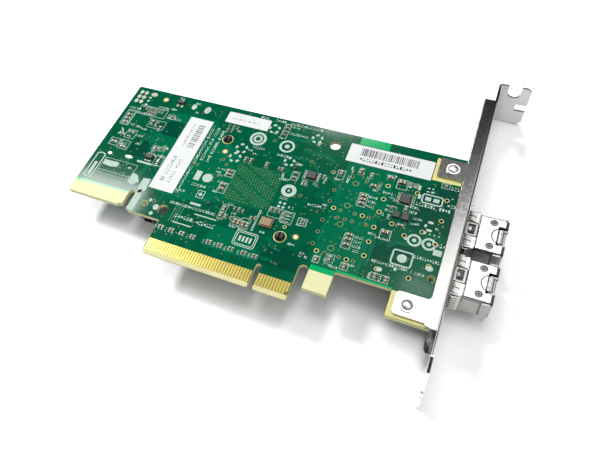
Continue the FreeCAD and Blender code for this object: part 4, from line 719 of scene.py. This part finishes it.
# print beside parts
for x, y, n_, h, rot in ((-29.0, 39.4, 5, 0.85, 0), (-29.2, 37.8, 3, 0.85, 0), (-26.8, 34.0, 3, 0.8, 0), (-26.8, 29.6, 3, 0.8, 0), (-22.0, 50.6, 3, 0.8, 0),
                         (-16.9, 61.0, 4, 0.8, 0), (-13.6, 59.4, 3, 0.8, 0), (-29.6, 57.8, 3, 0.8, 0), (-19.4, 26.3, 4, 0.8, 0), (-17.2, 23.2, 4, 0.8, 0),
                         (-15.4, 18.3, 4, 0.8, 0), (-11.8, 18.0, 4, 0.8, 0), (-4.6, 19.4, 3, 0.8, 0), (5.8, 18.2, 4, 0.8, 0), (5.8, 26.0, 4, 0.8, 0),
                         (6.8, 34.6, 9, 0.9, 4), (11.4, 36.1, 3, 0.8, 4), (5.6, 43.2, 3, 0.8, 0), (1.6, 42.0, 4, 0.8, 0), (9.3, 44.9, 5, 0.7, 90),
                         (12.0, 47.6, 3, 0.8, 0), (16.9, 47.6, 5, 0.9, 90), (19.0, 54.6, 3, 0.8, 0), (16.8, 53.4, 3, 0.7, 90), (22.2, 51.4, 3, 0.8, 0),
                         (25.6, 47.0, 3, 0.8, 0), (25.3, 43.9, 4, 0.9, 0), (25.3, 42.0, 4, 0.9, 0), (25.3, 40.2, 4, 0.9, 0), (25.4, 27.5, 4, 0.9, 0),
                         (25.4, 25.8, 4, 0.9, 0), (25.4, 24.0, 4, 0.9, 0), (25.4, 22.4, 4, 0.9, 0), (29.0, 47.2, 5, 0.9, 0), (31.6, 45.8, 3, 0.8, 0),
                         (31.5, 42.3, 4, 0.9, 0), (31.5, 40.6, 4, 0.9, 0), (31.6, 38.4, 2, 0.8, 90), (38.8, 44.2, 4, 0.9, 0), (38.8, 42.2, 4, 0.9, 0),
                         (40.8, 40.2, 5, 0.8, 0), (40.3, 37.8, 6, 0.7, 12), (46.8, 35.8, 5, 0.9, 0), (48.2, 38.4, 2, 0.8, 0), (28.4, 54.6, 5, 0.9, 0),
                         (36.4, 52.0, 6, 1.9, 0), (28.8, 30.3, 4, 0.8, 0), (31.2, 29.6, 8, 0.8, 0), (32.6, 21.1, 16, 0.9, 0), (19.4, 16.4, 2, 0.8, 90),
                         (26.0, 17.2, 4, 0.8, 0), (20.6, 14.9, 5, 0.8, 0), (10.6, 15.3, 5, 0.8, 0), (33.8, 15.2, 3, 0.9, 90), (37.0, 15.2, 3, 0.9, 90),
                         (44.6, 21.0, 7, 0.8, 0), (44.5, 26.5, 10, 1.0, 0), (40.2, 45.9, 13, 1.2, 0), (40.2, 48.6, 1, 1.7, 0), (49.9, 48.0, 3, 1.3, 0),
                         (50.6, 51.2, 1, 0.9, 0), (49.6, 55.2, 3, 1.3, 0), (49.8, 32.4, 3, 1.4, 0),
                         (-51.2, 66.2, 3, 0.9, 0), (-49.5, 61.8, 2, 0.9, 0), (-58.6, 67.1, 3, 0.9, 0), (-65.2, 60.3, 7, 0.9, 0), (-59.8, 60.6, 4, 0.9, 0),
                         (-76.8, 57.0, 4, 0.9, 0), (-73.8, 57.0, 3, 0.9, 0), (-72.0, 55.5, 12, 0.7, 0), (-71.6, 58.9, 10, 0.6, 0), (-66.0, 54.2, 3, 0.9, -30),
                         (-58.6, 56.2, 8, 0.9, 0), (-72.0, 48.9, 8, 0.9, -6), (-66.8, 48.0, 5, 0.7, 0), (-74.6, 46.2, 3, 1.0, -50), (-74.6, 43.2, 3, 0.9, 0),
                         (-75.4, 38.4, 4, 1.1, 12), (-70.8, 38.4, 4, 1.0, 20), (-66.8, 44.4, 5, 0.8, 0), (-64.9, 40.6, 3, 0.9, 0), (-57.0, 40.6, 6, 0.9, 18),
                         (-57.4, 38.2, 5, 0.9, -18), (-53.6, 43.0, 4, 0.9, -35), (-52.6, 38.4, 3, 0.9, -35), (-53.0, 33.2, 4, 0.9, 10)):
    silk.marks(x, y, n_, h, rot, h * 0.52, h * 0.26, int(x * 7 + y * 3) % 997, 0.16 if h > 1.1 else 0.13, 0.06)
# plain rings, discs and bars
silk.frame(41.4, 47.4, 48.3, 51.3, 0.45, 0.9)
silk.box(42.6, 48.6, 44.4, 50.1); silk.box(45.2, 48.6, 47.1, 50.1)
silk.ring(43.0, 32.6, 1.5, 2.25, 32); silk.disc(43.0, 32.6, 0.7, 16)
silk.ring(47.6, 32.6, 1.5, 2.25, 32); silk.disc(47.6, 32.6, 0.7, 16)
silk.frame(37.8, 22.2, 44.4, 27.9, 0.5, 1.0)
silk.disc(41.1, 25.05, 1.5, 24)
silk.box(49.4, 29.3, 52.0, 31.4)
for cx, cy, rx, ry in ((46.4, 40.6, 0.95, 0.5), (46.5, 37.6, 0.95, 0.5), (45.1, 39.0, 0.4, 0.6), (35.6, 19.2, 0.9, 0.8), (40.1, 20.9, 0.5, 0.7),
                       (49.6, 24.3, 1.2, 0.9), (40.4, 32.4, 0.5, 0.5), (49.6, 33.0, 0.7, 0.8), (45.4, 36.4, 0.5, 0.6)):
    silk.disc(cx, cy, rx, 16, ry)
for x, y in ((-2.3, 32.8), (-0.7, 32.8), (-2.3, 31.2), (-0.7, 31.2)):
    silk.disc(x, y, 0.5)
silk.frame(-4.9, 26.4, -0.2, 30.4, 0.14)
for k in range(8):
    a = 25.6 + k * 0.62
    silk.line([(0.5, a + 0.1), (4.0, a - 0.25 if k % 2 else a + 0.45)], 0.16)
silk.frame(0.3, 25.3, 4.2, 30.3, 0.14)
silk.frame(5.8, 26.2, 9.1, 29.2, 0.2)
for k in range(9):
    silk.ring(-7.35, 19.6 + k * 0.98, 0.22, 0.42, 12)
silk.frame(-20.7, 20.0, -18.5, 26.2, 0.14)
silk.frame(-12.0, 18.8, -8.9, 23.2, 0.14)
silk.frame(-15.4, 18.9, -12.2, 22.6, 0.14)
silk.frame(-25.6, 29.9, -22.5, 34.6, 0.16); silk.frame(-25.6, 37.2, -22.5, 40.6, 0.16)
silk.frame(-13.2, 59.8, -10.7, 66.8, 0.16)
silk.frame(-2.75, 42.9, -0.1, 46.9, 0.16)
silk.frame(21.9, 39.6, 25.0, 45.3, 0.16); silk.frame(21.9, 22.7, 25.0, 28.4, 0.16)
silk.frame(32.4, 50.4, 36.1, 54.6, 0.2); silk.frame(32.3, 29.7, 35.8, 33.6, 0.2)
silk.frame(33.4, 15.0, 39.4, 17.6, 0.16); silk.frame(12.2, 48.2, 14.8, 52.3, 0.16)
silk.frame(15.2, 14.9, 17.4, 17.4, 0.16); silk.frame(19.0, 15.6, 21.6, 19.4, 0.14); silk.frame(24.0, 15.2, 26.6, 17.8, 0.14)
silk.frame(46.4, 55.1, 49.2, 57.4, 0.16)
# left part of the board
for j in range(3):
    for i in range(2):
        pad.disc(-76.1 + i * 2.15, 66.2 - j * 2.45, 0.82, 16, 1.0)
pad.disc(-70.2, 66.2, 1.45, 20, 1.05)
for y in (64.2, 62.4, 60.4):
    silk.disc(-71.1, y, 0.55, 12, 0.5)
silk.disc(-51.2, 64.7, 1.05, 20, 1.4)
silk.disc(-45.2, 64.6, 1.25, 20, 1.75)
pad.disc(-45.2, 64.6, 0.75, 16, 1.2)
silk.frame(-72.6, 55.2, -60.3, 59.9, 0.18)
silk.frame(-76.6, 48.2, -72.8, 56.2, 0.2)
silk.frame(-75.9, 48.8, -73.3, 55.6, 0.14)
silk.frame(-59.2, 56.0, -56.4, 58.3, 0.18)
silk.frame(-65.2, 49.8, -58.0, 54.0, 0.14)
silk.frame(-75.6, 37.6, -71.6, 41.2, 0.16); silk.frame(-71.2, 36.8, -66.9, 41.2, 0.16); silk.frame(-71.2, 42.4, -67.0, 46.8, 0.16)
silk.frame(-53.8, 33.6, -50.3, 38.4, 0.16); silk.frame(-57.6, 40.2, -53.4, 42.4, 0.14)
silk.box(-60.0, 33.2, -53.6, 34.0)
pad.disc(-64.0, 34.3, 1.6, 18, 0.7)
pad.disc(-72.2, 33.8, 0.9, 14, 0.7)
for s in (-1, 1):
    pad.box(-57.2 + s * 0.95 - 0.4, 63.0, -57.2 + s * 0.95 + 0.4, 64.3)
pad.box(-57.6, 66.2, -56.8, 67.2)
for s in (-1, 0, 1):
    pad.box(-56.3 + s * 0.97 - 0.3, 34.7, -56.3 + s * 0.97 + 0.3, 35.6)
    pad.box(-56.3 + s * 0.97 - 0.3, 37.5, -56.3 + s * 0.97 + 0.3, 38.4)
silk.frame(-76.9, 21.2, -73.2, 33.2, 0.45, 1.3)
silk.box(-75.6, 22.4, -74.4, 28.6)
for k in range(14):
    silk.disc(-72.0 + k * 0.98, 25.8, 0.26, 10)
silk.frame(-72.6, 24.4, -58.4, 31.6, 0.14)
silk.poly([(-72.3, 30.6), (-66.0, 30.6), (-66.0, 28.6), (-69.0, 28.0), (-72.3, 28.4)])
silk.box(-61.6, 29.3, -60.6, 30.0)
silk.poly([(-58.8, 28.2), (-56.2, 27.6), (-54.4, 25.0), (-56.6, 23.0), (-58.8, 24.0)])
silk.poly([(-53.6, 27.2), (-50.6, 27.6), (-50.2, 22.2), (-52.4, 20.6), (-53.6, 23.0)])
# around the connectors and tooling holes
silk.disc(-43.0, 17.3, 1.1, 18, 1.2); silk.disc(-43.5, 14.5, 0.75, 14, 0.75); silk.disc(-46.3, 19.4, 0.55, 12, 0.8)
silk.poly([(-53.0, 13.4), (-50.4, 13.4), (-50.6, 19.6), (-51.6, 22.6), (-53.0, 21.6)])
# controller-side chip lands
for k in range(4):
    yy = 46.6 - 1.45 + (k + 0.5) * 2.9 / 4
    pad.box(5.6, yy - 0.2, 6.6, yy + 0.2); pad.box(1.6, yy - 0.2, 2.6, yy + 0.2)
    yy = 46.9 - 1.9 + (k + 0.5) * 3.8 / 4
    pad.box(38.2, yy - 0.22, 39.2, yy + 0.22); pad.box(34.2, yy - 0.22, 35.2, yy + 0.22)
silk.frame(33.9, 44.6, 39.6, 49.2, 0.12)
silk.frame(1.2, 44.7, 7.0, 48.5, 0.12)
# bed of the edge contacts
bed = Deck("laminate_under_contacts", M_BED, 0, 0.008)
bed.box(-38.9, 1.35, -1.15, 5.75)
bed.box(1.15, 1.35, 11.9, 5.75)
bed.build()

# print on the labels: plain bars
lab = Deck("label_print_dark", M_PRINT2, 0, 0.010, base=0.08)
lab2 = Deck("label_print_grey", M_PRINT, 0, 0.010, base=0.08)
rb = random.Random(21)
x = 17.2
while x < 37.4:
    w = rb.choice((0.14, 0.14, 0.26, 0.38))
    lab.box(x, 60.5, x + w, 63.9)
    x += w + rb.choice((0.16, 0.16, 0.28, 0.40))
lab.marks(17.6, 58.3, 17, 1.35, 0, 0.72, 0.36, 31, 0.3, 0)
for y0, y1 in ((52.0, 56.6), (48.3, 51.0), (45.2, 47.4)):
    y = y0
    while y < y1:
        w = rb.choice((0.35, 0.5, 0.7))
        lab2.box(-44.9, y, -42.2, y + w)
        y += w + rb.choice((0.3, 0.45))
lab2.marks(-46.2, 45.2, 14, 0.9, 90, 0.5, 0.35, 33, 0.2, 0.05)
lab2.marks(-43.4, 28.2, 10, 1.3, 90, 0.7, 0.45, 34, 0.25, 0.1)
lab2.marks(-46.0, 28.4, 12, 1.5, 90, 0.6, 0.4, 35, 0.25, 0.1)
lab2.marks(-34.0, 63.2, 16, 0.9, 0, 0.45, 0.3, 36, 0.18, 0.2)
lab2.marks(-33.0, 64.9, 9, 0.5, 0, 0.4, 0.5, 37, 0.15, 0.3)
lab.build()
lab2.build()
# ---- component side: pads, vias, traces, outlines and rows of bars
pad_c = Deck("pads_and_solder_component_side", M_PAD, 0, 0.035, side=-1)
via_rc = Deck("via_rings_component_side", M_RINGD, 0, 0.012, side=-1)
# painted shade inside the via holes, component side
via_mc = Deck("via_mouths_component_side", M_VIA_HOLE_SHADE, 0, 0.014, side=-1)
trace_c = Deck("traces_component_side", M_TRACE, 0, 0.009, side=-1)
silk_c = Deck("silkscreen_component_side", M_SILK, 0, 0.022, side=-1)
CAPS_C = [(x, y, True, "0603") for x in (-41.0, -38.8) for y in (24.0, 26.0, 28.0, 30.0)]
CAPS_C += [(x, 66.6, False, "0402") for x in (-27.0, -25.6, -17.0, -15.6, -5.0, -3.6)]
CAPS_C += [(x, 13.0, False, "0402") for x in (-34, -31, -28, -25, -22, -19, -16, -13, -10, -7, -4)]
CAPS_C += [(-74.6, y, False, "0805") for y in (62, 57, 52, 47, 42, 37)]
RES_C = [(x, y, False, "0402") for x in (-55.5, -54.1, -52.7) for y in (57.0, 60.0, 31.5, 34.5)]
RES_C += [(x, 26.6, True, "0402") for x in (-70.5, -68.5, -54.0, -52.0)]
for x, y, hz, sz in CAPS_C:
    solder_ends(pad_c, x, y, hz, sz, 0.6, -1)
for x, y, hz, sz in RES_C:
    solder_ends(pad_c, x, y, hz, sz, 0.35, -1)
taken = [(-15.5, 37.0, 20.5), (-42.0, 27.0, 5.0)] + [(x, y, 1.4) for x, y, hz, sz in CAPS_C + RES_C]
for node in ("controller_ic", "management_ic", "flash_memory", "voltage_regulators", "power_inductors", "polymer_capacitors", "side_header", "status_leds"):
    o = N[node]
    vs = [tuple(v.co * 1000.0) for v in o.data.vertices]
    # one box per separate solid of the node
    seen, adj = {}, {}
    for e in o.data.edges:
        adj.setdefault(e.vertices[0], []).append(e.vertices[1])
        adj.setdefault(e.vertices[1], []).append(e.vertices[0])
    for i in range(len(vs)):
        if i in seen:
            continue
        stack, grp = [i], []
        seen[i] = 1
        while stack:
            k = stack.pop()
            grp.append(vs[k])
            for j in adj.get(k, ()):
                if j not in seen:
                    seen[j] = 1
                    stack.append(j)
        x0, x1 = min(g[0] for g in grp), max(g[0] for g in grp)
        y0, y1 = min(g[1] for g in grp), max(g[1] for g in grp)
        if x1 - x0 < 1.6 or y1 - y0 < 1.6:
            continue
        taken.append(((x0 + x1) / 2, (y0 + y1) / 2, math.hypot(x1 - x0, y1 - y0) / 2 + 0.8))
        silk_c.frame(x0 - 0.6, y0 - 0.6, x1 + 0.6, y1 + 0.6, 0.15)
        silk_c.disc(x0 - 1.1, y1 + 0.2, 0.25, 12)
rc = random.Random(77)
n = 0
while n < 260:
    x, y = rc.uniform(-77, 7), rc.uniform(13.5, 68)
    if free(x, y, 0.2) and all(math.hypot(x - a, y - b) > r for a, b, r in taken[2:]):
        via_rc.disc(x, y, 0.27, 10)
        via_mc.disc(x, y, 0.13, 6)
        n += 1
for x0, y0, n0, ang in ((-72.0, 24.0, 8, 0), (-64.0, 62.5, 9, 0), (-60.0, 40.0, 7, 90), (-50.0, 64.0, 8, 0), (-33.0, 15.2, 16, 0), (-36.0, 66.6, 7, 0)):
    silk_c.marks(x0, y0, n0, 1.0, ang, 0.55, 0.28, int(x0) + n0, 0.15, 0.05)
for gx in (-37.3, -33.2, -29.2, -25.1, -19.0, -15.0, -11.0, -6.4, -2.5):
    for q in (-0.55, 0.55):
        trace_c.line([(gx + q, 5.9), (gx + q, 11.4)], 0.2)
for dk in (pad_c, via_rc, via_mc, trace_c, silk_c):
    dk.build()

for dk in (zone_l, silk2, field, zone_d, zone_b, bright, bare, bare2, trace, via_r, via_m, ring, silk, pad, fid, fine):
    dk.build()

# ------------------------------------------------------------------ floor, light, camera
# The card rests on the far edge of the bracket and on the heat sink.
slope = (14.60 - 17.56) / (-35.0 - 56.9)
z0 = -17.57 - 0.02


def floor_z(x):
    return (z0 - (x - 56.9) * slope * 1.0)


bm = bmesh.new()
R = 1500
vs = []
ang = math.atan(slope)
for x, y in ((-R, -R), (R, -R), (R, R), (-R, R)):
    vs.append(bm.verts.new(((56.9 + x * math.cos(ang)) * MM, (40 + y) * MM, (z0 - x * math.sin(ang)) * MM)))
bm.faces.new(vs)
me = bpy.data.meshes.new("floor")
bm.to_mesh(me); bm.free()
floor = bpy.data.objects.new("floor", me)
scene.collection.objects.link(floor)
fm = Mat("floor_paper", (0.92, 0.92, 0.92), 0.0, 0.75)
nf = fm.noise(0.02, 3)
fm.set(Base_Color=fm.ramp(nf, [(0.3, (0.90, 0.90, 0.90)), (0.7, (0.93, 0.93, 0.93))]))
floor.data.materials.append(fm.m)

world = bpy.data.worlds.new("studio")
scene.world = world
world.use_nodes = True
wt = world.node_tree
bg = wt.nodes["Background"]
bg.inputs["Strength"].default_value = 1.0
tc = wt.nodes.new("ShaderNodeTexCoord")
sep = wt.nodes.new("ShaderNodeSeparateXYZ")
wt.links.new(tc.outputs["Generated"], sep.inputs["Vector"])


def wmath(op, a, b=None, clamp=False):
    n = wt.nodes.new("ShaderNodeMath")
    n.operation = op
    n.use_clamp = clamp
    for i, v in enumerate((a, b)):
        if v is None:
            continue
        if isinstance(v, (int, float)):
            n.inputs[i].default_value = v
        else:
            wt.links.new(v, n.inputs[i])
    return n.outputs[0]


# A bright ceiling, a dark wall low on the far (+Y) side, a mid grey room elsewhere.
X_, Y_, Z_ = sep.outputs["X"], sep.outputs["Y"], sep.outputs["Z"]


def wstep(v, lo, hi):
    n = wt.nodes.new("ShaderNodeMapRange")
    n.interpolation_type = "SMOOTHSTEP"
    n.inputs["From Min"].default_value = lo
    n.inputs["From Max"].default_value = hi
    wt.links.new(v, n.inputs["Value"])
    return n.outputs["Result"]


lean = wmath("ADD", Z_, wmath("MULTIPLY", X_, 0.45))
ceil = wstep(lean, 0.765, 0.875)
far = wstep(Y_, 0.05, 0.40)
room = wmath("MULTIPLY", wmath("SUBTRACT", 1.0, far), WORLD_ROOM)
lum = wmath("ADD", wmath("MULTIPLY", ceil, WORLD_CEIL), wmath("ADD", room, WORLD_DARK))
comb = wt.nodes.new("ShaderNodeCombineColor")
for i in range(3):
    wt.links.new(lum, comb.inputs[i])
wt.links.new(comb.outputs[0], bg.inputs["Color"])


def area(name, loc, size, power, size_y=None, target=None):
    l = bpy.data.lights.new(name, "AREA")
    l.energy = power
    l.size = size * MM
    if size_y:
        l.shape = "RECTANGLE"
        l.size_y = size_y * MM
    o = bpy.data.objects.new(name, l)
    scene.collection.objects.link(o)
    loc = Vector(loc) * MM
    o.location = loc
    if target:
        o.rotation_euler = (Vector(target) * MM - loc).to_track_quat("-Z", "Y").to_euler()
    return o


area("key_left", (-490, 190, 620), 130, 4.6, None, (0, 40, 0))
area("key_back", (-210, 850, 800), 140, 3.6, None, (0, 40, 0))
area("overhead", (10, 70, 700), 200, 1.3, None, (0, 40, 0))
area("panel_left", (-325, 208, 369), 96, 0.47, 44)
area("panel_corner", (41.7, 255.5, 463), 39, 0.022, 23)
area("panel_foot", (47.5, 205, 463), 58, 0.013, 77)
area("panel_ports", (96.7, 301, 425), 36, 0.030, 123)

cam = bpy.data.cameras.new("camera")
co = bpy.data.objects.new("camera", cam)
scene.collection.objects.link(co)
cam.sensor_fit = "HORIZONTAL"
cam.sensor_width = 36.0
cam.lens = 34.6418
cam.shift_x = 0.08586
cam.shift_y = -0.07974
cam.clip_start, cam.clip_end = 0.005, 20
RR = [(0.9120966, 0.3908875, -0.1236399), (0.2524171, -0.7730624, -0.5819451), (-0.3230564, 0.4995813, -0.8037743)]
C = Vector((50.17865, -66.21552, 161.48237)) * MM
co.matrix_world = Matrix((
    (RR[0][0], -RR[1][0], -RR[2][0], C.x),
    (RR[0][1], -RR[1][1], -RR[2][1], C.y),
    (RR[0][2], -RR[1][2], -RR[2][2], C.z),
    (0, 0, 0, 1)))
scene.camera = co
scene.view_settings.view_transform = "Standard"
